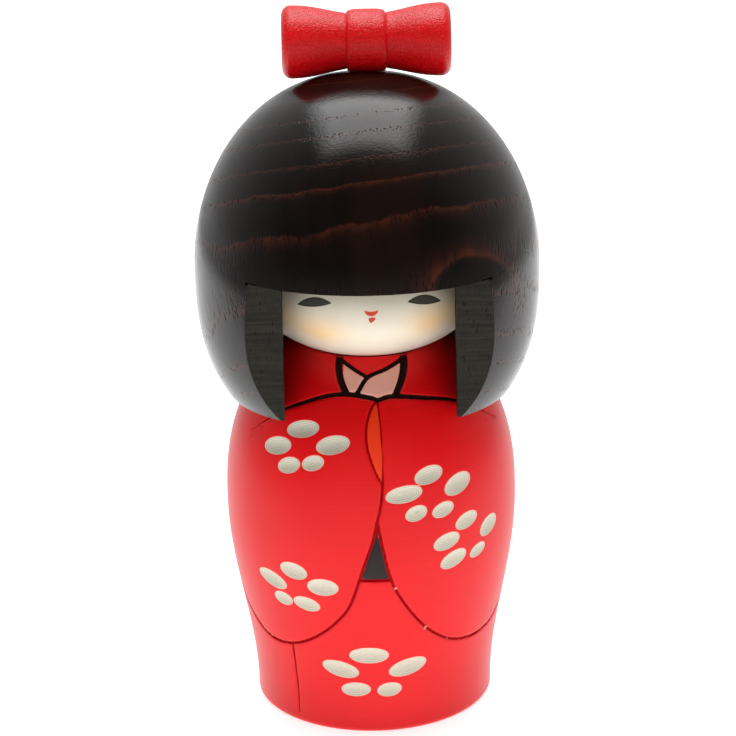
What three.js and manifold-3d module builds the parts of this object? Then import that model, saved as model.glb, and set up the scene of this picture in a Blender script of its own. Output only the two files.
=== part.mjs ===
// A turned wooden kokeshi doll, in millimetres, +Z up.
// The origin is the centre of the base, where the doll stands. The doll looks along -Y.
// The body is one turned block with a dished seat on top. The face is a flattened ball that sits
// in the seat on a peg. The hair is a turned block bored out over the face, with a level cut that
// leaves the fringe and two flats that leave the side locks. A turned bow is pinned to the crown.
// The head, which is the face, the hair and the bow, turns on the neck peg.

import * as THREE from "three";
import { mergeVertices } from "three/addons/utils/BufferGeometryUtils.js";
import Module from "manifold-3d";

// Body
const FOOT_RADIUS = 26.0;
const FOOT_ROUND = 1.4;
const BELLY_RADIUS = 31.7;
const BELLY_HEIGHT = 47.0;
const SHOULDER_HEIGHT = 39.9; // from the belly to the point where the shoulders would close
const SHOULDER_FULLNESS = 2.4; // 2 is an ellipse, more is squarer
const SEAT_RADIUS = 15.1; // rim of the dish in which the face ball sits

// Face ball
const FACE_RADIUS = 24.5;
const FACE_HALF_HEIGHT = 13.8;

// Hair
const HAIR_RADIUS = 37.0;
const HAIR_WIDEST_ABOVE_FACE = 6.1; // widest level of the hair, over the middle of the face
const HAIR_CROWN_HEIGHT = 40.0; // from the widest level to the crown
const CROWN_ROUNDING = 1.87; // under 2, the crown is more pointed than an ellipse
const CROWN_FULLNESS = 2.3; // over 2, the sides below the crown are fuller than an ellipse
const HAIR_RIM_DEPTH = 27.8; // from the widest level down to the rim
const HAIR_RIM_FULLNESS = 2.9; // over 2, the side stays full and then turns in
const HAIR_RIM_WALL = 3.5;
const FRINGE_ABOVE_FACE = 9.4; // underside of the fringe, over the middle of the face
const FACE_RECESS = 1.9; // how far the face lies behind the flats, at the middle of the face
const FLAT_LEAN_DEGREES = 5.2; // the flats run back towards the rim
const WINDOW_HALF_WIDTH = 18.1; // between the side locks

// Bow
const BOW_HALF_LENGTH = 17.9;
const BOW_FLARE_RADIUS = 7.75;
const BOW_WAIST_RADIUS = 5.95;
const BOW_KNOT_RADIUS = 6.75;
const BOW_KNOT_HALF_LENGTH = 4.2;
const BOW_END_ROUND = 2.0;
const BOW_SINK = 0.45; // how far the knot is let into the hair
const BOW_BEHIND_CROWN = 8.0;
const BOW_OFF_CENTRE = 0.8; // towards +X, as the hand-pinned bow sits

// Pegs
const NECK_PEG_RADIUS = 4.0;
const NECK_PEG_IN_BODY = 16.0;
const NECK_PEG_IN_FACE = 11.0;
const CROWN_PEG_RADIUS = 4.0;
const CROWN_PEG_IN_FACE = 6.0;
const CROWN_PEG_IN_HAIR = 10.0;
const BOW_PEG_RADIUS = 2.0;
const BOW_PEG_IN_HAIR = 7.0;
const BOW_PEG_IN_BOW = 6.0;
const PEG_CHAMFER = 0.6;

// Fits
const GLUE_GAP = 0.3; // between glued or pinned pieces
const TURNING_GAP = 0.3; // between the head and what it turns on
const SHOULDER_CLEARANCE = 1.6; // between the body's shoulder and the inside of the hair

// Facets
const ROUND_SEGMENTS = 48;
const BOW_SEGMENTS = 32;
const PEG_SEGMENTS = 16;
const BODY_SIDE_STEPS = 9;
const BODY_SHOULDER_STEPS = 12;
const BALL_STEPS = 16;
const CROWN_STEPS = 12;
const HAIR_SIDE_STEPS = 6;
const FOOT_ROUND_STEPS = 2;
const BOW_FLARE_STEPS = 5;
const BOW_KNOT_STEPS = 4;
const BOW_END_STEPS = 3;
const CUT_REACH = 60.0; // how far a cutting block runs past the doll

// Colours and finishes
const FINISHES = {
  redLacquer: { color: 0xd81a22, roughness: 0.32, metalness: 0 },
  ivoryPaint: { color: 0xe8dfcc, roughness: 0.45, metalness: 0 },
  darkStain: { color: 0x2e211d, roughness: 0.3, metalness: 0 },
  plainWood: { color: 0xc9a878, roughness: 0.7, metalness: 0 },
};

// Radius of the shoulders at a height over the belly.
const shoulderRadius = (rise) =>
  BELLY_RADIUS * Math.sqrt(1 - (rise / SHOULDER_HEIGHT) ** SHOULDER_FULLNESS);

// Height of the shoulders over the belly at a radius.
const shoulderRise = (radius) =>
  SHOULDER_HEIGHT * (1 - (radius / BELLY_RADIUS) ** 2) ** (1 / SHOULDER_FULLNESS);

// Depth of a flattened ball below its middle at a radius.
const ballDrop = (radius, ballRadius, halfHeight) =>
  halfHeight * Math.sqrt(1 - (radius / ballRadius) ** 2);

// Radius of the crown at a height over the widest level of the hair, and the other way round.
const crownRadius = (rise) =>
  HAIR_RADIUS * (1 - (rise / HAIR_CROWN_HEIGHT) ** CROWN_ROUNDING) ** (1 / CROWN_FULLNESS);
const crownRise = (radius) =>
  HAIR_CROWN_HEIGHT * (1 - (radius / HAIR_RADIUS) ** CROWN_FULLNESS) ** (1 / CROWN_ROUNDING);

// Heights that follow from the sizes above

const SEAT_RIM_Z = BELLY_HEIGHT + shoulderRise(SEAT_RADIUS);
const FACE_Z =
  SEAT_RIM_Z + ballDrop(SEAT_RADIUS, FACE_RADIUS + TURNING_GAP, FACE_HALF_HEIGHT + TURNING_GAP);
const FACE_BOTTOM_Z = FACE_Z - FACE_HALF_HEIGHT;
const FACE_TOP_Z = FACE_Z + FACE_HALF_HEIGHT;
const HAIR_WIDEST_Z = FACE_Z + HAIR_WIDEST_ABOVE_FACE;
const HAIR_RIM_Z = HAIR_WIDEST_Z - HAIR_RIM_DEPTH;
const FRINGE_Z = FACE_Z + FRINGE_ABOVE_FACE;
const HAIR_BORE_RADIUS = shoulderRadius(HAIR_RIM_Z - BELLY_HEIGHT) + SHOULDER_CLEARANCE;
const HAIR_RIM_RADIUS = HAIR_BORE_RADIUS + HAIR_RIM_WALL;
const BOW_SEAT_Z = HAIR_WIDEST_Z + crownRise(BOW_BEHIND_CROWN) - BOW_SINK;
const BOW_Z = BOW_SEAT_Z + BOW_KNOT_RADIUS;

const wasm = await Module();
wasm.setup();

// Solid of manifold-3d from a closed three.js geometry.
function solidFrom(geometry) {
  const plain = geometry.clone();
  plain.deleteAttribute("normal");
  plain.deleteAttribute("uv");
  const merged = mergeVertices(plain, 1e-4);
  return new wasm.Manifold(
    new wasm.Mesh({
      numProp: 3,
      vertProperties: merged.attributes.position.array,
      triVerts: new Uint32Array(merged.index.array),
    }),
  );
}

// Three.js geometry from a solid of manifold-3d.
function geometryFrom(solid) {
  const mesh = solid.getMesh();
  const geometry = new THREE.BufferGeometry();
  geometry.setAttribute("position", new THREE.BufferAttribute(mesh.vertProperties, 3));
  geometry.setIndex(new THREE.BufferAttribute(mesh.triVerts, 1));
  geometry.computeVertexNormals();
  return geometry;
}

// Surface of revolution about +Z from [radius, height] pairs that run upwards, axis to axis.
function turned(profile, segments = ROUND_SEGMENTS) {
  const points = profile.map(([radius, height]) => new THREE.Vector2(radius, height));
  return new THREE.LatheGeometry(points, segments).rotateX(Math.PI / 2);
}

// Evenly spaced shares from 0 to 1, both included.
const shares = (steps) => Array.from({ length: steps + 1 }, (_, i) => i / steps);

// Flattened ball about the middle of the face, grown by a gap.
function ballProfile(gap) {
  return shares(BALL_STEPS).map((share) => {
    const angle = (share - 0.5) * Math.PI;
    const radius = (FACE_RADIUS + gap) * Math.cos(angle);
    const height = FACE_Z + (FACE_HALF_HEIGHT + gap) * Math.sin(angle);
    return [share === 0 || share === 1 ? 0 : radius, height];
  });
}

// Where each peg stands, and where it starts and ends
const neckPeg = {
  radius: NECK_PEG_RADIUS,
  x: 0,
  y: 0,
  bottom: FACE_BOTTOM_Z - NECK_PEG_IN_BODY,
  top: FACE_BOTTOM_Z + NECK_PEG_IN_FACE,
};
const crownPeg = {
  radius: CROWN_PEG_RADIUS,
  x: 0,
  y: 0,
  bottom: FACE_TOP_Z - CROWN_PEG_IN_FACE,
  top: FACE_TOP_Z + GLUE_GAP + CROWN_PEG_IN_HAIR,
};
const bowPeg = {
  radius: BOW_PEG_RADIUS,
  x: BOW_OFF_CENTRE,
  y: BOW_BEHIND_CROWN,
  bottom: BOW_SEAT_Z - BOW_PEG_IN_HAIR,
  top: BOW_SEAT_Z + BOW_PEG_IN_BOW,
};

// Peg with a chamfer at each end.
function pegGeometry({ radius, x, y, bottom, top }) {
  return turned(
    [
      [0, bottom],
      [radius - PEG_CHAMFER, bottom],
      [radius, bottom + PEG_CHAMFER],
      [radius, top - PEG_CHAMFER],
      [radius - PEG_CHAMFER, top],
      [0, top],
    ],
    PEG_SEGMENTS,
  ).translate(x, y, 0);
}

// Plain bore that holds a peg with a gap all round.
function boreFor({ radius, x, y, bottom, top }, gap) {
  const profile = [
    [0, bottom - gap],
    [radius + gap, bottom - gap],
    [radius + gap, top + gap],
    [0, top + gap],
  ];
  return solidFrom(turned(profile, PEG_SEGMENTS).translate(x, y, 0));
}

// Body: rounded foot, a side that swells to the belly, and shoulders that close over it.
function bodyProfile() {
  const foot = shares(FOOT_ROUND_STEPS).map((share) => {
    const angle = (share * Math.PI) / 2;
    return [
      FOOT_RADIUS - FOOT_ROUND * (1 - Math.sin(angle)),
      FOOT_ROUND * (1 - Math.cos(angle)),
    ];
  });
  const side = shares(BODY_SIDE_STEPS)
    .slice(1)
    .map((share) => {
      const swell = (1 - Math.cos(Math.PI * share)) / 2;
      return [
        FOOT_RADIUS + (BELLY_RADIUS - FOOT_RADIUS) * swell,
        FOOT_ROUND + (BELLY_HEIGHT - FOOT_ROUND) * share,
      ];
    });
  const shoulders = shares(BODY_SHOULDER_STEPS)
    .slice(1)
    .map((share) => {
      const rise = SHOULDER_HEIGHT * Math.sin((share * Math.PI) / 2);
      return [share === 1 ? 0 : shoulderRadius(rise), BELLY_HEIGHT + rise];
    });
  return [[0, 0], ...foot, ...side, ...shoulders];
}

function kimonoBody() {
  const seat = solidFrom(turned(ballProfile(TURNING_GAP)));
  return geometryFrom(
    solidFrom(turned(bodyProfile()))
      .subtract(seat)
      .subtract(boreFor(neckPeg, GLUE_GAP)),
  );
}

function faceBall() {
  return geometryFrom(
    solidFrom(turned(ballProfile(0)))
      .subtract(boreFor(neckPeg, TURNING_GAP))
      .subtract(boreFor(crownPeg, GLUE_GAP)),
  );
}

// Outside of the hair: a rim that swells to the widest level, and a rounded crown over it.
function hairProfile() {
  const side = shares(HAIR_SIDE_STEPS).map((share) => {
    const narrowing = (HAIR_RADIUS - HAIR_RIM_RADIUS) * (1 - share) ** HAIR_RIM_FULLNESS;
    return [HAIR_RADIUS - narrowing, HAIR_RIM_Z + HAIR_RIM_DEPTH * share];
  });
  const crown = shares(CROWN_STEPS)
    .slice(1)
    .map((share) => {
      const rise = HAIR_CROWN_HEIGHT * Math.sin((share * Math.PI) / 2);
      return [share === 1 ? 0 : crownRadius(rise), HAIR_WIDEST_Z + rise];
    });
  return [[0, HAIR_RIM_Z], ...side, ...crown];
}

// Inside of the hair: a mouth that narrows to the widest level of the face, closed over its top.
function hairBoreProfile() {
  const overFace = ballProfile(GLUE_GAP).slice(BALL_STEPS / 2);
  return [
    [0, HAIR_RIM_Z - CUT_REACH],
    [HAIR_BORE_RADIUS, HAIR_RIM_Z - CUT_REACH],
    [HAIR_BORE_RADIUS, HAIR_RIM_Z],
    ...overFace,
  ];
}

// Wedge in front of the leaning flats and under the fringe.
function flatsCut() {
  const lean = Math.tan(THREE.MathUtils.degToRad(FLAT_LEAN_DEGREES));
  const flatY = (height) => -(FACE_RADIUS + FACE_RECESS) - lean * (height - FACE_Z);
  const low = HAIR_RIM_Z - CUT_REACH / 2;
  const side = new THREE.Shape([
    new THREE.Vector2(flatY(FRINGE_Z), FRINGE_Z),
    new THREE.Vector2(-CUT_REACH, FRINGE_Z),
    new THREE.Vector2(-CUT_REACH, low),
    new THREE.Vector2(flatY(low), low),
  ]);
  const sideToFront = new THREE.Matrix4().makeBasis(
    new THREE.Vector3(0, 1, 0),
    new THREE.Vector3(0, 0, 1),
    new THREE.Vector3(1, 0, 0),
  );
  const block = new THREE.ExtrudeGeometry(side, { depth: 2 * CUT_REACH, bevelEnabled: false });
  return solidFrom(block.applyMatrix4(sideToFront).translate(-CUT_REACH, 0, 0));
}

// Slot between the side locks, from the front to the bore.
function windowCut() {
  const low = HAIR_RIM_Z - CUT_REACH / 2;
  const block = new THREE.BoxGeometry(2 * WINDOW_HALF_WIDTH, CUT_REACH, FRINGE_Z - low);
  return solidFrom(block.translate(0, -CUT_REACH / 2, (FRINGE_Z + low) / 2));
}

function hairShell() {
  const bowSeat = solidFrom(bowGeometry(GLUE_GAP));
  return geometryFrom(
    solidFrom(turned(hairProfile()))
      .subtract(solidFrom(turned(hairBoreProfile())))
      .subtract(flatsCut())
      .subtract(windowCut())
      .subtract(boreFor(crownPeg, GLUE_GAP))
      .subtract(bowSeat)
      .subtract(boreFor(bowPeg, GLUE_GAP)),
  );
}

// Half of the bow, from the middle of the knot to one end, as [distance, radius] pairs.
function halfBow() {
  const knot = shares(BOW_KNOT_STEPS).map((share) => [
    BOW_KNOT_HALF_LENGTH * share,
    BOW_WAIST_RADIUS + (BOW_KNOT_RADIUS - BOW_WAIST_RADIUS) * Math.sqrt(1 - share ** 4),
  ]);
  const flareEnd = BOW_HALF_LENGTH - BOW_END_ROUND;
  const flare = shares(BOW_FLARE_STEPS)
    .slice(1)
    .map((share) => [
      BOW_KNOT_HALF_LENGTH + (flareEnd - BOW_KNOT_HALF_LENGTH) * share,
      BOW_WAIST_RADIUS +
        (BOW_FLARE_RADIUS - BOW_WAIST_RADIUS) * Math.sin((share * Math.PI) / 2) ** 1.3,
    ]);
  const end = shares(BOW_END_STEPS)
    .slice(1)
    .map((share) => {
      const angle = (share * Math.PI) / 2;
      return [
        flareEnd + BOW_END_ROUND * Math.sin(angle),
        BOW_FLARE_RADIUS - BOW_END_ROUND * (1 - Math.cos(angle)),
      ];
    });
  return [...knot, ...flare, ...end];
}

// Bow along X, grown by a gap.
function bowGeometry(gap) {
  const half = halfBow().map(([distance, radius]) => [radius + gap, distance]);
  const tip = BOW_HALF_LENGTH + gap;
  const upper = half.map(([radius, distance]) => [
    radius,
    distance === BOW_HALF_LENGTH ? tip : distance,
  ]);
  const lower = upper
    .slice(1)
    .reverse()
    .map(([radius, distance]) => [radius, -distance]);
  return turned([[0, -tip], ...lower, ...upper, [0, tip]], BOW_SEGMENTS)
    .rotateY(Math.PI / 2)
    .translate(bowPeg.x, bowPeg.y, BOW_Z);
}

function hairBow() {
  return geometryFrom(solidFrom(bowGeometry(0)).subtract(boreFor(bowPeg, GLUE_GAP)));
}

// One named piece with its own material.
function piece(name, geometry, finish) {
  const mesh = new THREE.Mesh(geometry, new THREE.MeshStandardMaterial(FINISHES[finish]));
  mesh.name = name;
  return mesh;
}

const body = new THREE.Group();
body.add(piece("kimono_body", kimonoBody(), "redLacquer"));
body.add(piece("neck_peg", pegGeometry(neckPeg), "plainWood"));

const head = new THREE.Group();
head.add(piece("face_ball", faceBall(), "ivoryPaint"));
head.add(piece("hair_shell", hairShell(), "darkStain"));
head.add(piece("crown_peg", pegGeometry(crownPeg), "plainWood"));
head.add(piece("hair_bow", hairBow(), "redLacquer"));
head.add(piece("bow_peg", pegGeometry(bowPeg), "plainWood"));

const doll = new THREE.Group();
doll.add(body, head);

export default doll;
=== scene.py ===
"""Looks of a turned and painted kokeshi doll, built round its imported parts.

The body is turned, lacquered red, carved with the lines of a kimono and gouged with petals. The face
is a flattened ball in ivory paint. The hair is turned from a coarse-grained block, stained, and sawn
open in front of the face. A turned bow is pinned to the crown.

Lengths are millimetres until a mesh is made. Angles round the doll are degrees from its front, which
looks along -Y, towards +X. Left and right are as seen from in front, so left is towards -X.
"""

import logging
import math
import sys
from collections.abc import Callable, Sequence
from dataclasses import dataclass, field
from enum import Enum
from functools import partial
from typing import ClassVar

import bpy
import numpy as np
from mathutils import Matrix, Vector


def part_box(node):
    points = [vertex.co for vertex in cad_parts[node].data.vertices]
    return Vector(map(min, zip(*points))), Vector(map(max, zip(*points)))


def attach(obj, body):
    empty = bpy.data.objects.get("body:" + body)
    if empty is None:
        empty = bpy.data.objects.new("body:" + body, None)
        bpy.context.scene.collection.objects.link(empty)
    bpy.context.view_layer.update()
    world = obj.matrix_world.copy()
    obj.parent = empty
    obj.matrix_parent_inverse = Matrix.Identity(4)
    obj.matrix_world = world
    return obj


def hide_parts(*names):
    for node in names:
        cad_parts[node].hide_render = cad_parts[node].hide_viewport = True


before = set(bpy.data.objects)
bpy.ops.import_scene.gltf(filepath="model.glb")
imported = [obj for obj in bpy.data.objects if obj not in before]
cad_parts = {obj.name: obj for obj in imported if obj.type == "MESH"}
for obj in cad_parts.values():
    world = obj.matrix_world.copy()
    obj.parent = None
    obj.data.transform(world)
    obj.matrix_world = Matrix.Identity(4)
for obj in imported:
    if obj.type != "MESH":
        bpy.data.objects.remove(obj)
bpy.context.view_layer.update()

LOG = logging.getLogger("kokeshi")
MM = 0.001
FAR = 9.0  # distance written where no mark is near
WELD_DECIMALS = 4
TOUCH = 0.01
SHARP_ANGLE = math.radians(38)
WHITE, BLACK = (1.0, 1.0, 1.0, 1.0), (0.0, 0.0, 0.0, 1.0)

Array = np.ndarray
Node = bpy.types.Node
Tree = bpy.types.NodeTree
Socket = bpy.types.NodeSocket
Looks = dict[str, Node | Socket | float]
Adder = Callable[..., Node]  # add_node with its tree given


# --- Small tools ------------------------------------------------------


def linear(hex_colour: str) -> tuple[float, float, float, float]:
    """Turns an sRGB colour to linear light.

    Args:
        hex_colour: A hash sign and six hexadecimal digits.

    Returns:
        Red, green, blue and an alpha of 1.
    """
    srgb = np.array([int(hex_colour[i : i + 2], 16) / 255 for i in (1, 3, 5)])
    light = np.where(srgb <= 0.04045, srgb / 12.92, ((srgb + 0.055) / 1.055) ** 2.4)
    return (*light.tolist(), 1.0)


def add_node(tree: Tree, kind: str, inputs: Sequence | dict = (), **settings) -> Node:
    """Adds one shader node with its settings and links.

    Args:
        tree: The node tree.
        kind: Blender's type name of the node, without "ShaderNode".
        inputs: What goes into the node: in the order of its open inputs, or by their names. A
            node stands for its first open output, and hex text for a colour.
        settings: Properties of the node. For a colour ramp, stops is a list of (place, colour).

    Returns:
        The new node.
    """
    node = tree.nodes.new("ShaderNode" + kind)
    stops = settings.pop("stops", ())
    for name, value in settings.items():
        setattr(node, name, value)
    for _ in stops[2:]:
        node.color_ramp.elements.new(1.0)
    for number, (place, colour) in enumerate(stops):
        element = node.color_ramp.elements[number]
        element.position = place
        element.color = linear(colour) if isinstance(colour, str) else colour
    opened = [socket for socket in node.inputs if socket.enabled]
    named = inputs.items() if isinstance(inputs, dict) else zip(opened, inputs)
    for key, value in named:
        socket = node.inputs[key] if isinstance(key, str) else key
        if isinstance(value, Node):
            value = next(output for output in value.outputs if output.enabled)
        if isinstance(value, Socket):
            tree.links.new(value, socket)
        else:
            socket.default_value = linear(value) if isinstance(value, str) else value
    return node


def start_material(name: str) -> tuple[bpy.types.Material, Adder]:
    """Makes an empty node material.

    Args:
        name: What the real material is.

    Returns:
        The material, and what adds nodes to it.
    """
    material = bpy.data.materials.new(name)
    material.use_nodes = True
    material.node_tree.nodes.clear()
    return material, partial(add_node, material.node_tree)


def box_mm(node: str) -> tuple[Array, Array]:
    """Lowest and highest corner of a CAD node, in millimetres."""
    low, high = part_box(node)
    return np.array(low) / MM, np.array(high) / MM


def smooth_curve(points: Array, pieces: int = 24) -> Array:
    """Catmull-Rom curve: between two points, the cubic whose slopes there are half the step across.

    Args:
        points: Rows of any width, in order.
        pieces: Pieces each span is cut in.

    Returns:
        The curve's rows.
    """
    ends = np.vstack([2 * points[0] - points[1], points, 2 * points[-1] - points[-2]])
    before, start, stop, after = ends[:-3], ends[1:-2], ends[2:-1], ends[3:]
    t = np.linspace(0, 1, pieces, endpoint=False)[:, None, None]
    spans = 0.5 * (
        2 * start
        + (stop - before) * t
        + (2 * before - 5 * start + 4 * stop - after) * t**2
        + (3 * start - before - 3 * stop + after) * t**3
    )
    return np.vstack([spans.transpose(1, 0, 2).reshape(-1, points.shape[1]), points[-1:]])


def evenly(points: Array, spacing: float) -> Array:
    """The same line with its points at even steps of about the spacing along it.

    Args:
        points: Close points of the line.
        spacing: Wanted step.

    Returns:
        The evenly spaced points, with both ends kept.
    """
    along = np.r_[0, np.cumsum(np.linalg.norm(np.diff(points, axis=0), axis=1))]
    steps = np.linspace(0, along[-1], max(2, round(along[-1] / spacing) + 1))
    return np.column_stack([np.interp(steps, along, column) for column in points.T])


def profile(*stretches: tuple[Array, float]) -> Array:
    """Joins stretches of a turned profile, each spaced in its own step, at shared corners.

    Args:
        stretches: Pairs of (radius, height) rows and a spacing.

    Returns:
        All (radius, height) rows.
    """
    spaced = [evenly(np.asarray(points, float), spacing) for points, spacing in stretches]
    return np.vstack([spaced[0], *(points[1:] for points in spaced[1:])])


def turned(outline: Array, angles: Array) -> Array:
    """Grid of a profile carried round +Z: x is r sin a and y is -r cos a.

    Args:
        outline: (radius, height) rows.
        angles: Angles from the front, in radians.

    Returns:
        Array of rows by angles by 3.
    """
    radius, height = outline[:, :1], outline[:, 1:]
    return np.stack([radius * np.sin(angles), -radius * np.cos(angles), height + 0 * angles], axis=-1)


def closed_round(outline: Array, angles: Array) -> Array:
    """Grid of a profile carried once round, its last column the same points as its first."""
    grid = turned(outline, angles)
    grid[:, -1] = grid[:, 0]
    return grid


def round_angles(front: float, fine: float, coarse: float) -> Array:
    """Angles once round, close together over the front and wider apart behind.

    Args:
        front: Half of the front's width, in degrees.
        fine: Step over the front, in degrees.
        coarse: Step behind, in degrees.

    Returns:
        Rising angles in radians, the last one full turn after the first.
    """
    ahead = np.linspace(-front, front, round(2 * front / fine) + 1)
    behind = np.linspace(front, 360 - front, round((360 - 2 * front) / coarse) + 1)
    return np.radians(np.r_[ahead[:-1], behind])


def inside(x: Array, y: Array, outline: Array) -> Array:
    """Tells which points lie in a closed outline, whose edge a level ray crosses an odd number of times.

    Args:
        x: The points' first coordinate.
        y: Their second.
        outline: Corners of the outline.

    Returns:
        True for each point inside.
    """
    x1, y1 = outline.T
    x2, y2 = np.roll(outline, -1, axis=0).T
    over = (y1 > y[:, None]) != (y2 > y[:, None])
    rise = np.where(y2 == y1, 1.0, y2 - y1)
    left = x[:, None] < (x2 - x1) * (y[:, None] - y1) / rise + x1
    return (over & left).sum(axis=1) % 2 == 1


def smoothstep(value: Array, start: float, stop: float) -> Array:
    """Cubic ease 3t^2 - 2t^3 from 0 at start to 1 at stop."""
    t = np.clip((value - start) / (stop - start), 0, 1)
    return t * t * (3 - 2 * t)


@dataclass
class Skin:
    """Closed surface gathered from grids that share their edges, then welded."""

    grids: list[Array] = field(default_factory=list)
    faces: list[Array] = field(default_factory=list)
    finishes: list[Array] = field(default_factory=list)
    count: int = 0

    def add(self, grid: Array, turn: bool = False, finish: int = 0) -> None:
        """Adds a grid's quads.

        Args:
            grid: Array of rows by columns by 3. Seen from outside, columns run to the right, rows up.
            turn: True turns the faces round.
            finish: Number of the material slot.
        """
        rows, columns = grid.shape[:2]
        index = self.count + np.arange(rows * columns).reshape(rows, columns)
        corners = [index[:-1, :-1], index[:-1, 1:], index[1:, 1:], index[1:, :-1]]
        quads = np.stack(corners, axis=-1).reshape(-1, 4)
        self.grids.append(grid.reshape(-1, 3))
        self.faces.append(quads[:, ::-1] if turn else quads)
        self.finishes.append(np.full(len(quads), finish))
        self.count += rows * columns

    def weld(self) -> tuple[Array, Array, Array, Array]:
        """Merges points that coincide.

        A quad that loses a corner becomes a triangle, and one that loses two goes.

        Returns:
            Points, corners of all faces in a row, corners per face, and material numbers.
        """
        points = np.vstack(self.grids)
        rounded = np.round(points, WELD_DECIMALS)
        _, first, which = np.unique(rounded, axis=0, return_index=True, return_inverse=True)
        quads = which.reshape(-1)[np.vstack(self.faces)]
        finish = np.concatenate(self.finishes)
        keep = quads != np.roll(quads, -1, axis=1)
        corners = keep.sum(axis=1)
        whole = corners >= 3
        return points[first], quads[whole][keep[whole]], corners[whole], finish[whole]

    def make(
        self,
        name: str,
        materials: Sequence[bpy.types.Material],
        marks: Callable[[Array], dict[str, Array]] | None = None,
    ) -> bpy.types.Object:
        """Makes the mesh object, in metres, at the origin.

        Args:
            name: Name of the piece.
            materials: Its material slots.
            marks: Gives named numbers at each point, from the points in millimetres.

        Returns:
            The object, linked to the scene.
        """
        points, corners, sizes, finish = self.weld()
        mesh = bpy.data.meshes.new(name)
        mesh.vertices.add(len(points))
        mesh.vertices.foreach_set("co", (points * MM).astype(np.float32).ravel())
        mesh.loops.add(len(corners))
        mesh.loops.foreach_set("vertex_index", corners.astype(np.int32))
        mesh.polygons.add(len(sizes))
        starts = np.r_[0, np.cumsum(sizes)[:-1]].astype(np.int32)
        mesh.polygons.foreach_set("loop_start", starts)
        mesh.polygons.foreach_set("material_index", finish.astype(np.int32))
        mesh.update(calc_edges=True)
        mesh.validate()
        for material in materials:
            mesh.materials.append(material)
        mesh.shade_smooth()
        mesh.set_sharp_from_angle(angle=SHARP_ANGLE)
        for mark, values in (marks(points) if marks else {}).items():
            layer = mesh.attributes.new(mark, "FLOAT", "POINT")
            layer.data.foreach_set("value", values.astype(np.float32))
        piece = bpy.data.objects.new(name, mesh)
        bpy.context.scene.collection.objects.link(piece)
        return piece


# --- Finishes ---------------------------------------------------------


def mask_of(add: Adder, mark: str, reach: float = 0.0, edge: float = 0.05) -> Node:
    """Makes a mask that is 1 inside a mark and 0 outside, with a narrow soft edge.

    Args:
        add: Adds a node to the material.
        mark: Name of the mesh attribute that holds the distance outside the mark, in millimetres.
        reach: How far outside the mark the edge lies.
        edge: Half of the soft edge.

    Returns:
        The node that gives the mask.
    """
    distance = add("Attribute", attribute_name=mark).outputs["Fac"]
    values = (distance, reach - edge, reach + edge, 1.0, 0.0)
    return add("MapRange", values, interpolation_type="SMOOTHSTEP")


class Finish:
    """Finish of one surface. Each kind fills the sockets of the surface in its own way."""

    name: ClassVar[str]

    def looks(self, add: Adder) -> Looks:
        """Adds the nodes of the finish.

        Args:
            add: Adds a node to the material.

        Returns:
            What goes into each socket of the surface.
        """
        raise NotImplementedError

    def material(self) -> bpy.types.Material:
        """Builds the material."""
        material, add = start_material(self.name)
        surface = add("BsdfPrincipled", self.looks(add))
        add("OutputMaterial", {"Surface": surface})
        return material


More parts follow.
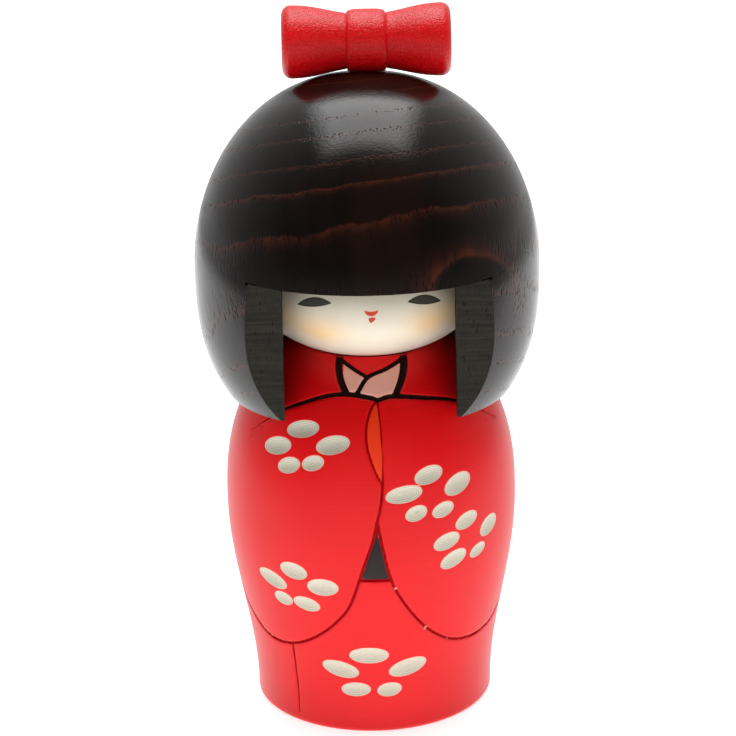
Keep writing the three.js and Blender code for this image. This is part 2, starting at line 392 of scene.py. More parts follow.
@dataclass(frozen=True)
class KimonoLacquer(Finish):
    """Red urethane lacquer sprayed over a turned and sanded body, then carved and painted.

    Satin, so it shows soft highlights and pale edges, with faint level lines left by the lathe. The
    carved lines are filled with brown or crimson paint, and the petals are gouged through the lacquer
    to pale wood, which is matt and shows the gouge's strokes.
    """

    name: ClassVar[str] = "satin_red_lacquer_carved"
    red: str = "#ef0f14"
    deep_red: str = "#e20b12"
    brown: str = "#26110f"
    crimson: str = "#a5040a"
    collar_pink: str = "#f8b2a2"
    lining_orange: str = "#fa3c12"
    sash: str = "#2c2524"
    petal: str = "#ded8c6"
    petal_stroke: str = "#b9b29a"
    petal_rim: str = "#f0a090"
    petal_rim_mm: float = 0.12
    chip: str = "#d89a84"
    roughness: float = 0.36
    roughness_spread: float = 0.08
    paint_roughness: float = 0.5
    petal_roughness: float = 0.62
    specular: float = 0.27
    groove_specular: float = 0.04
    lathe_line_mm: float = 0.5
    lathe_line_length: float = 400.0  # lathe lines are this many times longer than wide
    cloud_mm: float = 11.0
    shade_shares: tuple[float, float] = (0.45, 0.35)  # of the lathe lines and of the cloud
    stroke_mm: float = 0.42
    stroke_waver: float = 4.0  # in radians of a stroke's turn
    stroke_waver_per_mm: float = 0.9
    bump_mm: float = 0.02
    bump_shares: tuple[float, float] = (0.25, 0.4)  # of the lathe lines and of the gouge's strokes

    def looks(self, add: Adder) -> Looks:
        """Adds the nodes of the finish.

        Args:
            add: Adds a node to the material.

        Returns:
            What goes into each socket of the surface.
        """
        place = add("TexCoord").outputs["Object"]
        lathe, colour = self.sprayed(add, place)
        for mark, paint in (
            ("collar_pink", self.collar_pink),
            ("lining_orange", self.lining_orange),
            ("sash", self.sash),
            ("crimson_line", self.crimson),
            ("brown_line", self.brown),
            ("chip", self.chip),
        ):
            colour = add("Mix", (mask_of(add, mark), colour, paint), data_type="RGBA")
        wood, strokes = self.gouged(add, place)
        rim, gouged = mask_of(add, "petal", reach=self.petal_rim_mm), mask_of(add, "petal")
        for mask, paint in ((rim, self.petal_rim), (gouged, wood)):
            colour = add("Mix", (mask, colour, paint), data_type="RGBA")
        brown, crimson, pink = (mask_of(add, mark) for mark in ("brown_line", "crimson_line", "collar_pink"))
        painted = add("Math", (brown, pink), operation="MAXIMUM")
        values = (lathe, self.roughness_spread, self.roughness - self.roughness_spread / 2)
        rough = add("Math", values, operation="MULTIPLY_ADD")
        for mask, least in ((painted, self.paint_roughness), (gouged, self.petal_roughness)):
            matt = add("Math", (mask, least), operation="MULTIPLY")
            rough = add("Math", (rough, matt), operation="MAXIMUM")
        cuts = add("Math", (strokes, gouged), operation="MULTIPLY")
        deep = add("Math", (cuts, self.bump_shares[1]), operation="MULTIPLY")
        height = add("Math", (lathe, self.bump_shares[0], deep), operation="MULTIPLY_ADD")
        bump = add("Bump", {"Height": height, "Distance": self.bump_mm * MM})
        groove = add("Math", (crimson, brown), operation="MAXIMUM")
        fall = self.groove_specular - self.specular
        gloss = add("Math", (groove, fall, self.specular), operation="MULTIPLY_ADD")
        return {"Base Color": colour, "Roughness": rough, "Normal": bump, "Specular IOR Level": gloss}

    def sprayed(self, add: Adder, place: Socket) -> tuple[Node, Node]:
        """The red coat, a little deeper in soft clouds and along the lathe lines.

        Args:
            add: Adds a node to the material.
            place: Point on the body.

        Returns:
            The nodes that give the lathe lines and the colour.
        """
        per_line = 1 / (self.lathe_line_mm * MM)
        stretch = (per_line / self.lathe_line_length, per_line / self.lathe_line_length, per_line)
        level = add("Mapping", {"Vector": place, "Scale": stretch})
        lathe = add("TexNoise", {"Vector": level, "Scale": 1.0, "Detail": 2.0})
        spread = {"Vector": place, "Scale": 1 / (self.cloud_mm * MM), "Detail": 2.0}
        cloud = add("TexNoise", spread)
        lathe_share, cloud_share = self.shade_shares
        part = add("Math", (cloud, cloud_share), operation="MULTIPLY")
        shade = add("Math", (lathe, lathe_share, part), operation="MULTIPLY_ADD")
        colour = add("ValToRGB", (shade,), stops=[(0.2, self.deep_red), (0.55, self.red)])
        return lathe, colour

    def gouged(self, add: Adder, place: Socket) -> tuple[Node, Node]:
        """The bare wood of a petal, with the gouge's strokes following its edge inwards.

        Args:
            add: Adds a node to the material.
            place: Point on the body.

        Returns:
            The nodes that give the colour and the strokes, which swing between -1 and 1.
        """
        distance = add("Attribute", attribute_name="petal").outputs["Fac"]
        wobble = add("TexNoise", {"Vector": place, "Scale": self.stroke_waver_per_mm / MM})
        sway = add("Math", (wobble, self.stroke_waver), operation="MULTIPLY")
        turns = 2 * math.pi / self.stroke_mm
        phase = add("Math", (distance, turns, sway), operation="MULTIPLY_ADD")
        strokes = add("Math", (phase,), operation="SINE")
        half = add("Math", (strokes, 0.5, 0.5), operation="MULTIPLY_ADD")
        wood = add("ValToRGB", (half,), stops=[(0.0, self.petal_stroke), (0.45, self.petal)])
        return wood, strokes


@dataclass(frozen=True)
class BowLacquer(Finish):
    """The same red lacquer on a small turned bow, brushed on.

    Streaks run along the turned axis, and a faint orange peel breaks up the highlights.
    """

    name: ClassVar[str] = "satin_red_lacquer_bow"
    red: str = "#e41117"
    deep_red: str = "#d30b11"
    roughness: float = 0.27
    roughness_spread: float = 0.1
    specular: float = 0.46
    streak_mm: float = 0.6
    streak_length: float = 14.0  # streaks are this many times longer than wide
    streak_share: float = 0.25  # of the bump
    peel_mm: float = 0.36
    bump_mm: float = 0.16

    def looks(self, add: Adder) -> Looks:
        """Adds the nodes of the finish.

        Args:
            add: Adds a node to the material.

        Returns:
            What goes into each socket of the surface.
        """
        place = add("TexCoord").outputs["Object"]
        per_streak = 1 / (self.streak_mm * MM)
        stretch = (per_streak / self.streak_length, per_streak, per_streak)
        along = add("Mapping", {"Vector": place, "Scale": stretch})
        streaks = add("TexNoise", {"Vector": along, "Scale": 1.0, "Detail": 3.0})
        fine = {"Vector": place, "Scale": 1 / (self.peel_mm * MM), "Detail": 2.0}
        peel = add("TexNoise", fine)
        colour = add("ValToRGB", (streaks,), stops=[(0.32, self.deep_red), (0.62, self.red)])
        height = add("Math", (streaks, self.streak_share, peel), operation="MULTIPLY_ADD")
        bump = add("Bump", {"Height": height, "Distance": self.bump_mm * MM})
        values = (peel, self.roughness_spread, self.roughness - self.roughness_spread / 2)
        rough = add("Math", values, operation="MULTIPLY_ADD")
        return {"Base Color": colour, "Roughness": rough, "Normal": bump, "Specular IOR Level": self.specular}


@dataclass(frozen=True)
class GrainArch:
    """Arch of open grain, where the growth rings part round a knot just under the surface.

    On the skin it is an ellipse whose width and height lean on each other by the slant. It rises
    quickly at its inner edge, and fades outwards over the band. Both are shares of the ellipse's size.
    """

    angle: float = 38.0
    height: float = 99.3
    half_width: float = 11.95
    half_height: float = 9.95
    slant: float = 0.2
    inner_edge: float = 0.16
    band: float = 0.6
    foot: float = -0.75  # how far below the middle it is lost, as a share of the half height
    depth: float = 9.0
    depth_edge: float = 2.0
    waver_share: float = 0.35  # how much of the rings' shift it follows, per millimetre

    def open_grain(self, add: Adder, point: Node, radius: float, waver: Node | Socket) -> Node:
        """Porous share of the wood in the arch: 1 on the ellipse, falling to 0 outwards and inwards.

        Args:
            add: Adds a node to the material.
            point: Point in millimetres.
            radius: Radius of the block at the arch.
            waver: Shift of the rings, in millimetres, which makes the arch uneven.

        Returns:
            The node that gives the share.
        """
        turn = math.radians(self.angle)
        outward = Vector((math.sin(turn), -math.cos(turn), 0.0))
        sideways = Vector((math.cos(turn), math.sin(turn), 0.0))
        upright = self.slant * sideways + Vector((0.0, 0.0, 1.0))
        middle = radius * outward + Vector((0.0, 0.0, self.height))
        offset = add("VectorMath", (point, middle), operation="SUBTRACT")
        across = add("VectorMath", (offset, sideways / self.half_width), operation="DOT_PRODUCT")
        rise = add("VectorMath", (offset, upright / self.half_height), operation="DOT_PRODUCT")
        level = add("CombineXYZ", (across, rise))
        share = add("VectorMath", (level,), operation="LENGTH")
        wavy = add("Math", (waver, self.waver_share, share), operation="MULTIPLY_ADD")
        inward = add("VectorMath", (offset, outward), operation="DOT_PRODUCT")
        result = add("MapRange", (wavy, 1.0, 1.0 + self.band, 1.0, 0.0))
        for limit in (
            (wavy, 1.0 - self.inner_edge, 1.0, 0.0, 1.0),
            (rise, self.foot, 0.0, 0.0, 1.0),
            (inward, -self.depth - self.depth_edge, -self.depth, 0.0, 1.0),
        ):
            result = add("Math", (result, add("MapRange", limit)), operation="MULTIPLY")
        return result


@dataclass(frozen=True)
class RingPorousWood:
    """Where the growth rings of a ring-porous log, such as zelkova or chestnut, run through the hair block.

    The rings are cylinders about a pith line close to the turning axis, which leans back a little. Each
    ring starts with a row of wide pores, which the stain leaves reddish, and closes to dense dark wood.
    """

    pith: tuple[float, float, float] = (-0.2, -0.3, 100.0)
    pith_lean: tuple[float, float, float] = (-0.08, 0.23, 1.0)
    ring_radii: tuple[float, ...] = (12.5, 19.0, 24.6, 28.0, 31.6, 33.9, 36.05, 37.2, 37.44)
    onset: float = 0.1  # how fast a ring starts
    early_wood: float = 0.7  # width of a ring's porous start
    early_share: float = 0.7  # the most of a ring that its porous start takes up
    span: float = 40.0
    wavers: tuple[tuple[float, float], ...] = ((0.06, 0.3), (0.3, 0.14), (1.3, 0.07))  # per mm, and reach
    waver_length: float = 2.0  # wavers are this many times longer along the trunk
    arch: GrainArch = GrainArch()
    arch_radius: float = 37.0
    pore: float = 0.5  # distance between pores
    pore_edge: tuple[float, float] = (0.18, 0.42)  # as shares of that distance
    pore_length: float = 9.0  # pores are this many times longer along the trunk

    def trunk(self, add: Adder) -> tuple[Node, Node, Node]:
        """Coordinates of the trunk.

        Args:
            add: Adds a node to the material.

        Returns:
            Point in millimetres, the same square to the pith, and distance along the pith.
        """
        place = add("TexCoord").outputs["Object"]
        point = add("VectorMath", (place, 1 / MM), operation="SCALE")
        offset = add("VectorMath", (point, self.pith), operation="SUBTRACT")
        lean = Vector(self.pith_lean).normalized()
        along = add("VectorMath", (offset, lean), operation="DOT_PRODUCT")
        axial = add("VectorMath", (lean, along), operation="SCALE")
        across = add("VectorMath", (offset, axial), operation="SUBTRACT")
        return point, across, along

    def drawn_out(self, add: Adder, across: Node, along: Node, times: float) -> Node:
        """Point for a pattern that is drawn out along the trunk.

        Args:
            add: Adds a node to the material.
            across: Point square to the pith.
            along: Distance along the pith.
            times: How many times longer the pattern is along the trunk.

        Returns:
            The node that gives the point.
        """
        rise = add("Math", (along, 1 / times), operation="MULTIPLY")
        lift = add("CombineXYZ", {"Z": rise})
        return add("VectorMath", (across, lift), operation="ADD")

    def early(self, add: Adder, point: Node, across: Node, along: Node) -> Node:
        """Porous share of the wood: 1 where a ring starts, falling to 0 over its early wood.

        Args:
            add: Adds a node to the material.
            point: Point in millimetres.
            across: Point square to the pith.
            along: Distance along the pith.

        Returns:
            The node that gives the share.
        """
        drawn = self.drawn_out(add, across, along, self.waver_length)
        shift = 0.0
        for scale, reach in self.wavers:
            noise = add("TexNoise", {"Vector": drawn, "Scale": scale, "Detail": 1.0})
            sway = add("Math", (noise, 2 * reach, -reach), operation="MULTIPLY_ADD")
            shift = add("Math", (sway, shift), operation="ADD")
        radius = add("VectorMath", (across,), operation="LENGTH")
        wavy = add("Math", (radius, shift), operation="ADD")
        share = add("Math", (wavy, self.span), operation="DIVIDE")
        stops = [(0.0, BLACK)]
        for ring, following in zip(self.ring_radii, (*self.ring_radii[1:], self.span)):
            width = min(self.early_wood, self.early_share * (following - ring))
            stops.append(((ring - self.onset) / self.span, BLACK))
            stops.append((ring / self.span, WHITE))
            stops.append(((ring + width) / self.span, BLACK))
        rings = add("ValToRGB", (share,), stops=stops)
        arch = self.arch.open_grain(add, point, self.arch_radius, shift)
        return add("Math", (rings, arch), operation="MAXIMUM")

    def pores(self, add: Adder, across: Node, along: Node) -> Node:
        """Pores: 1 in the middle of a tube along the trunk, 0 between the tubes.

        Args:
            add: Adds a node to the material.
            across: Point square to the pith.
            along: Distance along the pith.

        Returns:
            The node that gives the pore mask.
        """
        drawn = self.drawn_out(add, across, along, self.pore_length)
        cells = add("TexVoronoi", {"Vector": drawn, "Scale": 1 / self.pore})
        values = (cells, *self.pore_edge, 1.0, 0.0)
        return add("MapRange", values, interpolation_type="SMOOTHSTEP")


@dataclass(frozen=True)
class TurnedStain(Finish):
    """Near-black stain and satin varnish on turned ring-porous wood.

    The varnish is glossy enough to mirror a lamp softly, the pores stay open as small matt dents, and
    the ring lines glow reddish brown through the stain.
    """

    name: ClassVar[str] = "dark_stained_ring_porous_wood_turned"
    grain: RingPorousWood = RingPorousWood()
    stain: str = "#0e0a08"
    warm_stain: str = "#1b0f0a"
    ring: str = "#4c2315"
    pore: str = "#060403"
    roughness: float = 0.17
    pore_roughness: float = 0.35  # added in a pore
    specular: float = 0.43
    cloud_per_mm: float = 0.09
    patch_per_mm: float = 0.5
    line_power: float = 3.5  # more is a narrower ring line
    line_glow: float = 0.14  # how far the early wood beside a ring line takes its colour
    line_strength: float = 1.3  # before the patches thin it
    open_pores: tuple[float, float] = (0.85, 0.09)  # more in the early wood, and everywhere
    sanding_per_mm: tuple[float, float, float] = (1.1, 1.1, 3.0)
    sanding_share: float = 0.6  # of the bump
    bump_mm: float = 0.05
    # Round the bow the gloss is lowered, which darkens the bow's reflection on the crown: painted shade.
    dull_middle: tuple[float, float, float] = (0.8, 8.0, 141.0)
    dull_size: tuple[float, float, float] = (25.0, 19.5, 12.0)
    dull_edge: tuple[float, float] = (0.85, 1.12)
    dull_share: float = 0.12
    # Where the saw's overcut is; its shade is painted, not cut.
    kerf_x: tuple[float, float] = (23.1, 25.4)
    kerf_z: float = 103.4
    kerf_half: float = 0.28

    def looks(self, add: Adder) -> Looks:
        """Adds the nodes of the finish.

        Args:
            add: Adds a node to the material.

        Returns:
            What goes into each socket of the surface.
        """
        point, across, along = self.grain.trunk(add)
        early = self.grain.early(add, point, across, along)
        pores = self.grain.pores(add, across, along)
        broad = {"Vector": across, "Scale": self.cloud_per_mm, "Detail": 3.0}
        cloud = add("TexNoise", broad)
        colour = add("ValToRGB", (cloud,), stops=[(0.4, self.stain), (0.65, self.warm_stain)])
        patchy = add("TexNoise", {"Vector": across, "Scale": self.patch_per_mm, "Detail": 3.0})
        narrow = add("Math", (early, self.line_power), operation="POWER")
        soft = add("Math", (early, self.line_glow, narrow), operation="MULTIPLY_ADD")
        broken = add("Math", (patchy, self.line_strength), operation="MULTIPLY")
        line = add("Math", (soft, broken), operation="MULTIPLY")
        colour = add("Mix", (line, colour, self.ring), data_type="RGBA")
        share = add("Math", (early, *self.open_pores), operation="MULTIPLY_ADD")
        opened = add("Math", (pores, share), operation="MULTIPLY")
        # Pores, and the painted shade of the saw's overcut, go dark and lose their gloss.
        dark = add("Math", (opened, self.kerf_shade(add, point)), operation="MAXIMUM")
        colour = add("Mix", (dark, colour, self.pore), data_type="RGBA")
        values = (opened, self.pore_roughness, self.roughness)
        rough = add("Math", values, operation="MULTIPLY_ADD")
        fine = add("VectorMath", (point, self.sanding_per_mm), operation="MULTIPLY")
        sanding = add("TexNoise", {"Vector": fine, "Scale": 1.0, "Detail": 3.0})
        dents = add("Math", (opened, -1.0), operation="MULTIPLY")
        height = add("Math", (sanding, self.sanding_share, dents), operation="MULTIPLY_ADD")
        bump = add("Bump", {"Height": height, "Distance": self.bump_mm * MM})
        shine = add("Math", (dark, -self.specular, self.specular), operation="MULTIPLY_ADD")
        # The gloss is lowered round the bow: painted shade in its reflection.
        gloss = add("Math", (shine, self.varnish(add, point)), operation="MULTIPLY")
        return {"Base Color": colour, "Roughness": rough, "Normal": bump, "Specular IOR Level": gloss}

    def varnish(self, add: Adder, point: Node) -> Node:
        """Share of the varnish's gloss, lowered round the bow so that its reflection on the crown is darker:
        painted shade.

        Args:
            add: Adds a node to the material.
            point: Point in millimetres.

        Returns:
            The node that gives the share.
        """
        offset = add("VectorMath", (point, self.dull_middle), operation="SUBTRACT")
        scaled = add("VectorMath", (offset, self.dull_size), operation="DIVIDE")
        away = add("VectorMath", (scaled,), operation="LENGTH")
        values = (away, *self.dull_edge, self.dull_share, 1.0)
        return add("MapRange", values, interpolation_type="SMOOTHSTEP")

    def kerf_shade(self, add: Adder, point: Node) -> Node:
        """Mask of painted shade for the saw's overcut, a short slit beside each upper corner of the face
        opening. The mesh doesn't cut the slit; its shade is painted dark and without gloss.

        Args:
            add: Adds a node to the material.
            point: Point in millimetres.

        Returns:
            The node that gives the mask.
        """
        middle = (sum(self.kerf_x) / 2, 0.0, self.kerf_z)
        folded = add("VectorMath", (point,), operation="ABSOLUTE")
        offset = add("VectorMath", (folded, middle), operation="SUBTRACT")
        away = add("SeparateXYZ", (add("VectorMath", (offset,), operation="ABSOLUTE"),))
        half = (self.kerf_x[1] - self.kerf_x[0]) / 2
        near = add("Math", (away.outputs["X"], half), operation="LESS_THAN")
        level = add("Math", (away.outputs["Z"], self.kerf_half), operation="LESS_THAN")
        front = add("SeparateXYZ", (point,)).outputs["Y"]
        ahead = add("Math", (front, 0.0), operation="LESS_THAN")
        both = add("Math", (near, level), operation="MULTIPLY")
        return add("Math", (both, ahead), operation="MULTIPLY")


@dataclass(frozen=True)
class SawnStain(Finish):
    """The same stain on sawn faces, without varnish.

    Matt and greyer than the turned skin, with fine level lines from the saw and dark pore streaks
    that run down the trunk.
    """

    name: ClassVar[str] = "dark_stained_ring_porous_wood_sawn"
    grain: RingPorousWood = RingPorousWood()
    stain: str = "#221e17"
    light: str = "#2d2b22"
    pore: str = "#0a0806"
    roughness: float = 0.72
    specular: float = 0.3
    saw_line_mm: float = 0.6
    saw_line_length: float = 25.0  # saw lines are this many times longer than wide
    saw_share: float = 0.5  # of the bump
    open_pores: tuple[float, float] = (0.8, 0.28)  # more in the early wood, and everywhere
    bump_mm: float = 0.06

    def looks(self, add: Adder) -> Looks:
        """Adds the nodes of the finish.

        Args:
            add: Adds a node to the material.

        Returns:
            What goes into each socket of the surface.
        """
        point, across, along = self.grain.trunk(add)
        early = self.grain.early(add, point, across, along)
        pores = self.grain.pores(add, across, along)
        per_line = 1 / self.saw_line_mm
        stretch = (per_line / self.saw_line_length, per_line / self.saw_line_length, per_line)
        level = add("VectorMath", (point, stretch), operation="MULTIPLY")
        saw = add("TexNoise", {"Vector": level, "Scale": 1.0, "Detail": 2.0})
        colour = add("ValToRGB", (saw,), stops=[(0.35, self.stain), (0.65, self.light)])
        share = add("Math", (early, *self.open_pores), operation="MULTIPLY_ADD")
        streaks = add("Math", (pores, share), operation="MULTIPLY")
        colour = add("Mix", (streaks, colour, self.pore), data_type="RGBA")
        dents = add("Math", (streaks, -1.0), operation="MULTIPLY")
        height = add("Math", (saw, self.saw_share, dents), operation="MULTIPLY_ADD")
        bump = add("Bump", {"Height": height, "Distance": self.bump_mm * MM})
        same = {"Roughness": self.roughness, "Specular IOR Level": self.specular}
        return {"Base Color": colour, "Normal": bump, **same}


@dataclass(frozen=True)
class FacePaint(Finish):
    """Ivory paint brushed over a turned ball, with the face in thin colour and a blush that is partly painted
    light.

    Satin and warm, with a slight cloudiness of the brushed coat. The eyes are charcoal with a darker
    outline, the nose and the mouth are orange red, and a thin pale rim round the nose is a painted highlight.
    """

    name: ClassVar[str] = "satin_ivory_paint_face"
    ivory: str = "#e9e0cd"
    shade: str = "#e4dbc7"
    # Blush colour, also painted light: redder and lighter in red than the ivory, so it lifts the sides of the
    # face that the hair's walls shade.
    blush: str = "#f6c783"
    eye: str = "#4a4940"
    eye_line: str = "#2c2a24"
    eye_line_mm: float = 0.16
    nose: str = "#d8431f"
    # Painted highlight: a thin pale pink rim round the nose, on its inner edge too.
    nose_painted_highlight: str = "#e88a78"
    nose_painted_highlight_mm: float = 0.12
    mouth: str = "#cf3d2c"
    roughness: float = 0.4
    roughness_spread: float = 0.1
    cloud_mm: float = 6.0
    brush_mm: float = 0.7
    bump_mm: float = 0.006

    def looks(self, add: Adder) -> Looks:
        """Adds the nodes of the finish.

        Args:
            add: Adds a node to the material.

        Returns:
            What goes into each socket of the surface.
        """
        place = add("TexCoord").outputs["Object"]
        broad = {"Vector": place, "Scale": 1 / (self.cloud_mm * MM), "Detail": 3.0}
        cloud = add("TexNoise", broad)
        colour = add("ValToRGB", (cloud,), stops=[(0.35, self.shade), (0.6, self.ivory)])
        # Partly airbrushed blush, partly painted light that lightens the face's sides in the shade of the
        # hair's walls.
        blush = add("Attribute", attribute_name="blush").outputs["Fac"]
        for mask, paint in (
            (blush, self.blush),
            (mask_of(add, "eye"), self.eye_line),
            (mask_of(add, "eye", reach=-self.eye_line_mm), self.eye),
            # Painted highlight round the nose.
            (mask_of(add, "nose", reach=self.nose_painted_highlight_mm), self.nose_painted_highlight),
            (mask_of(add, "nose"), self.nose),
            (mask_of(add, "mouth"), self.mouth),
        ):
            colour = add("Mix", (mask, colour, paint), data_type="RGBA")
        fine = {"Vector": place, "Scale": 1 / (self.brush_mm * MM), "Detail": 2.0}
        brushed = add("TexNoise", fine)
        bump = add("Bump", {"Height": brushed, "Distance": self.bump_mm * MM})
        values = (cloud, self.roughness_spread, self.roughness - self.roughness_spread / 2)
        rough = add("Math", values, operation="MULTIPLY_ADD")
        return {"Base Color": colour, "Roughness": rough, "Normal": bump}


@dataclass(frozen=True)
class BarePegWood(Finish):
    """Bare beech dowel, turned: pale, dry, with short darker flecks along the grain."""

    name: ClassVar[str] = "bare_beech_dowel"
    wood: str = "#cfae80"
    fleck: str = "#a67f50"
    fleck_mm: float = 0.35
    fleck_length: float = 8.0  # flecks are this many times longer than wide
    roughness: float = 0.7
    bump_mm: float = 0.03

    def looks(self, add: Adder) -> Looks:
        """Adds the nodes of the finish.

        Args:
            add: Adds a node to the material.

        Returns:
            What goes into each socket of the surface.
        """
        place = add("TexCoord").outputs["Object"]
        per_fleck = 1 / (self.fleck_mm * MM)
        stretch = (per_fleck, per_fleck, per_fleck / self.fleck_length)
        upright = add("Mapping", {"Vector": place, "Scale": stretch})
        flecks = add("TexNoise", {"Vector": upright, "Scale": 1.0, "Detail": 3.0})
        colour = add("ValToRGB", (flecks,), stops=[(0.3, self.fleck), (0.5, self.wood)])
        bump = add("Bump", {"Height": flecks, "Distance": self.bump_mm * MM})
        return {"Base Color": colour, "Roughness": self.roughness, "Normal": bump}


# --- Body -------------------------------------------------------------


class Paint(Enum):
    """Paints of the body's marks; the value is the name of the mesh attribute."""

    BROWN = "brown_line"
    CRIMSON = "crimson_line"
    PINK = "collar_pink"
    ORANGE = "lining_orange"
    SASH = "sash"
    PETAL = "petal"
    CHIP = "chip"


@dataclass(frozen=True)
class CarvedLine:
    """Line cut with a V tool and painted: (angle, height, half width) where its course changes."""

    paint: Paint
    course: tuple[tuple[float, float, float], ...]


@dataclass(frozen=True)
class PaintedPatch:
    """Flat painted area within an outline of (angle, height) corners."""

    paint: Paint
    outline: tuple[tuple[float, float], ...]


@dataclass(frozen=True)
class Petal:
    """One stroke of a gouge: the middle, the size and the tilt of an oval, turned towards +X and up."""

    angle: float
    height: float
    length: float
    width: float
    tilt: float


def cut(paint: Paint, course: Sequence[tuple[float, float]], half_width: float) -> CarvedLine:
    """Line of one width through (angle, height) places."""
    return CarvedLine(paint, tuple((angle, height, half_width) for angle, height in course))


CARVED_LINES = {
    "chest_left": CarvedLine(
        Paint.BROWN,
        (
            (-63.0, 66.1, 0.1), (-55.0, 69.2, 0.16), (-47.0, 72.2, 0.28), (-37.0, 74.4, 0.45),
            (-24.8, 76.3, 0.5), (-13.0, 77.0, 0.55), (-1.0, 76.5, 0.55), (3.4, 76.0, 0.5),
        ),
    ),
    "chest_right": CarvedLine(
        Paint.BROWN,
        (
            (3.4, 76.0, 0.5), (11.7, 76.5, 0.55), (27.3, 75.6, 0.5), (45.9, 73.6, 0.36),
            (59.7, 69.9, 0.2), (70.0, 66.6, 0.12),
        ),
    ),
    "slip_left": cut(Paint.BROWN, ((-52.0, 68.2), (-57.0, 67.6), (-62.0, 64.6)), 0.1),
    "slip_right": cut(Paint.BROWN, ((58.0, 68.3), (63.0, 67.0), (68.0, 67.6)), 0.1),
    "collar_left": CarvedLine(Paint.BROWN, ((-25.5, 83.2, 0.75), (-19.4, 79.9, 0.75), (-13.4, 77.2, 0.7))),
    "collar_right": CarvedLine(Paint.BROWN, ((29.0, 83.2, 0.85), (20.6, 79.7, 0.8), (14.0, 77.0, 0.7))),
    "collar_under": CarvedLine(Paint.BROWN, ((-23.5, 82.5, 0.5), (-12.0, 81.2, 0.48), (-1.5, 79.8, 0.45))),
    "collar_over": cut(Paint.BROWN, ((26.0, 82.3), (11.0, 81.0), (-1.5, 79.8), (-7.5, 77.2)), 0.5),
    "lining_left": CarvedLine(
        Paint.CRIMSON,
        (
            (3.4, 76.0, 0.3), (0.2, 74.6, 0.3), (-2.2, 71.6, 0.28), (-2.2, 68.0, 0.28),
            (-0.6, 64.9, 0.27), (1.8, 61.7, 0.26), (3.6, 59.9, 0.25),
        ),
    ),
    "lining_right": CarvedLine(
        Paint.CRIMSON,
        ((3.4, 76.0, 0.26), (4.0, 72.0, 0.22), (4.3, 68.0, 0.2), (4.4, 64.5, 0.2), (3.9, 59.8, 0.24)),
    ),
    "front_edge": cut(Paint.CRIMSON, ((3.9, 60.2), (3.4, 57.0), (2.4, 54.0), (1.3, 51.6)), 0.31),
    "sleeve_left": cut(
        Paint.CRIMSON,
        (
            (1.3, 51.8), (-0.3, 47.6), (-3.6, 42.3), (-9.6, 32.6), (-15.8, 27.9), (-24.8, 23.7),
            (-36.2, 20.5), (-49.0, 19.2), (-60.0, 20.3), (-70.0, 23.3), (-82.0, 27.6),
            (-98.0, 31.6), (-125.0, 33.3), (-180.0, 33.6),
        ),
        0.34,
    ),
    "sleeve_right": cut(
        Paint.CRIMSON,
        (
            (1.5, 51.6), (3.6, 45.0), (6.1, 38.9), (9.8, 34.2), (15.8, 29.2), (23.6, 24.6),
            (33.6, 21.1), (44.0, 19.6), (55.2, 19.4), (66.8, 20.4), (78.0, 24.0), (90.0, 28.6),
            (104.0, 31.9), (128.0, 33.3), (180.0, 33.6),
        ),
        0.34,
    ),
    "sash_edge": cut(Paint.CRIMSON, ((-5.8, 38.4), (0.5, 38.2), (6.6, 38.2)), 0.34),
    "hem_fold": CarvedLine(
        Paint.CRIMSON, ((-39.8, 19.8, 0.26), (-40.1, 14.0, 0.26), (-40.1, 8.0, 0.24), (-40.3, 2.6, 0.2))
    ),
}
PAINTED_PATCHES = {
    "collar_left": PaintedPatch(Paint.PINK, ((-20.0, 82.4), (-1.8, 79.8), (-8.0, 77.0), (-13.6, 77.0))),
    "collar_right": PaintedPatch(
        Paint.PINK, ((24.5, 82.2), (20.5, 79.6), (14.0, 76.8), (3.4, 76.2), (-7.0, 77.0), (-1.5, 79.6))
    ),
    "lining": PaintedPatch(
        Paint.ORANGE,
        (
            (3.4, 75.6), (0.4, 74.6), (-1.9, 71.6), (-1.9, 68.0), (-0.4, 64.9), (2.0, 61.7),
            (3.7, 60.0), (4.3, 64.5), (4.2, 68.0), (3.9, 72.0),
        ),
    ),
    "sash": PaintedPatch(Paint.SASH, ((1.2, 49.4), (-5.3, 38.4), (6.4, 38.3))),
}
# Each flower is five gouge strokes: three petals above and two smaller ones below. Each stroke has
# the five numbers of a Petal.
FRONT_FLOWERS = {
    "left_shoulder": (
        (-32.1, 69.9, 7.6, 3.6, 13), (-43.3, 65.6, 7.3, 3.7, 13), (-16.8, 67.6, 7.3, 3.8, 15),
        (-35.8, 62.3, 5.6, 3.3, 18), (-24.8, 63.6, 5.0, 3.1, 18),
    ),
    "right_chest": (
        (22.9, 60.8, 6.5, 3.6, 12), (35.6, 57.6, 7.1, 4.1, 18), (12.2, 57.4, 7.9, 3.5, 7),
        (16.7, 53.0, 4.8, 3.2, 16), (28.0, 52.8, 5.2, 3.1, 14),
    ),
    "right_sleeve": (
        (38.9, 49.0, 6.1, 3.4, 14), (51.5, 45.8, 6.0, 3.9, 24), (29.4, 45.4, 6.4, 3.5, 12),
        (32.7, 40.9, 6.7, 3.6, 18), (45.1, 41.1, 4.7, 2.7, 18),
    ),
    "left_sleeve": (
        (-33.5, 38.8, 6.7, 3.7, -4), (-45.1, 35.3, 8.1, 3.6, -12), (-21.0, 36.0, 7.0, 3.9, 4),
        (-40.4, 31.2, 4.9, 3.0, -4), (-28.9, 31.2, 6.3, 3.2, -6),
    ),
    "skirt": (
        (-3.0, 19.4, 8.4, 3.9, 0), (-16.3, 15.6, 8.1, 3.8, -13), (14.6, 15.9, 8.4, 4.0, 15),
        (-9.5, 10.7, 6.3, 3.3, 3), (6.2, 10.6, 5.2, 3.3, 6),
    ),
}
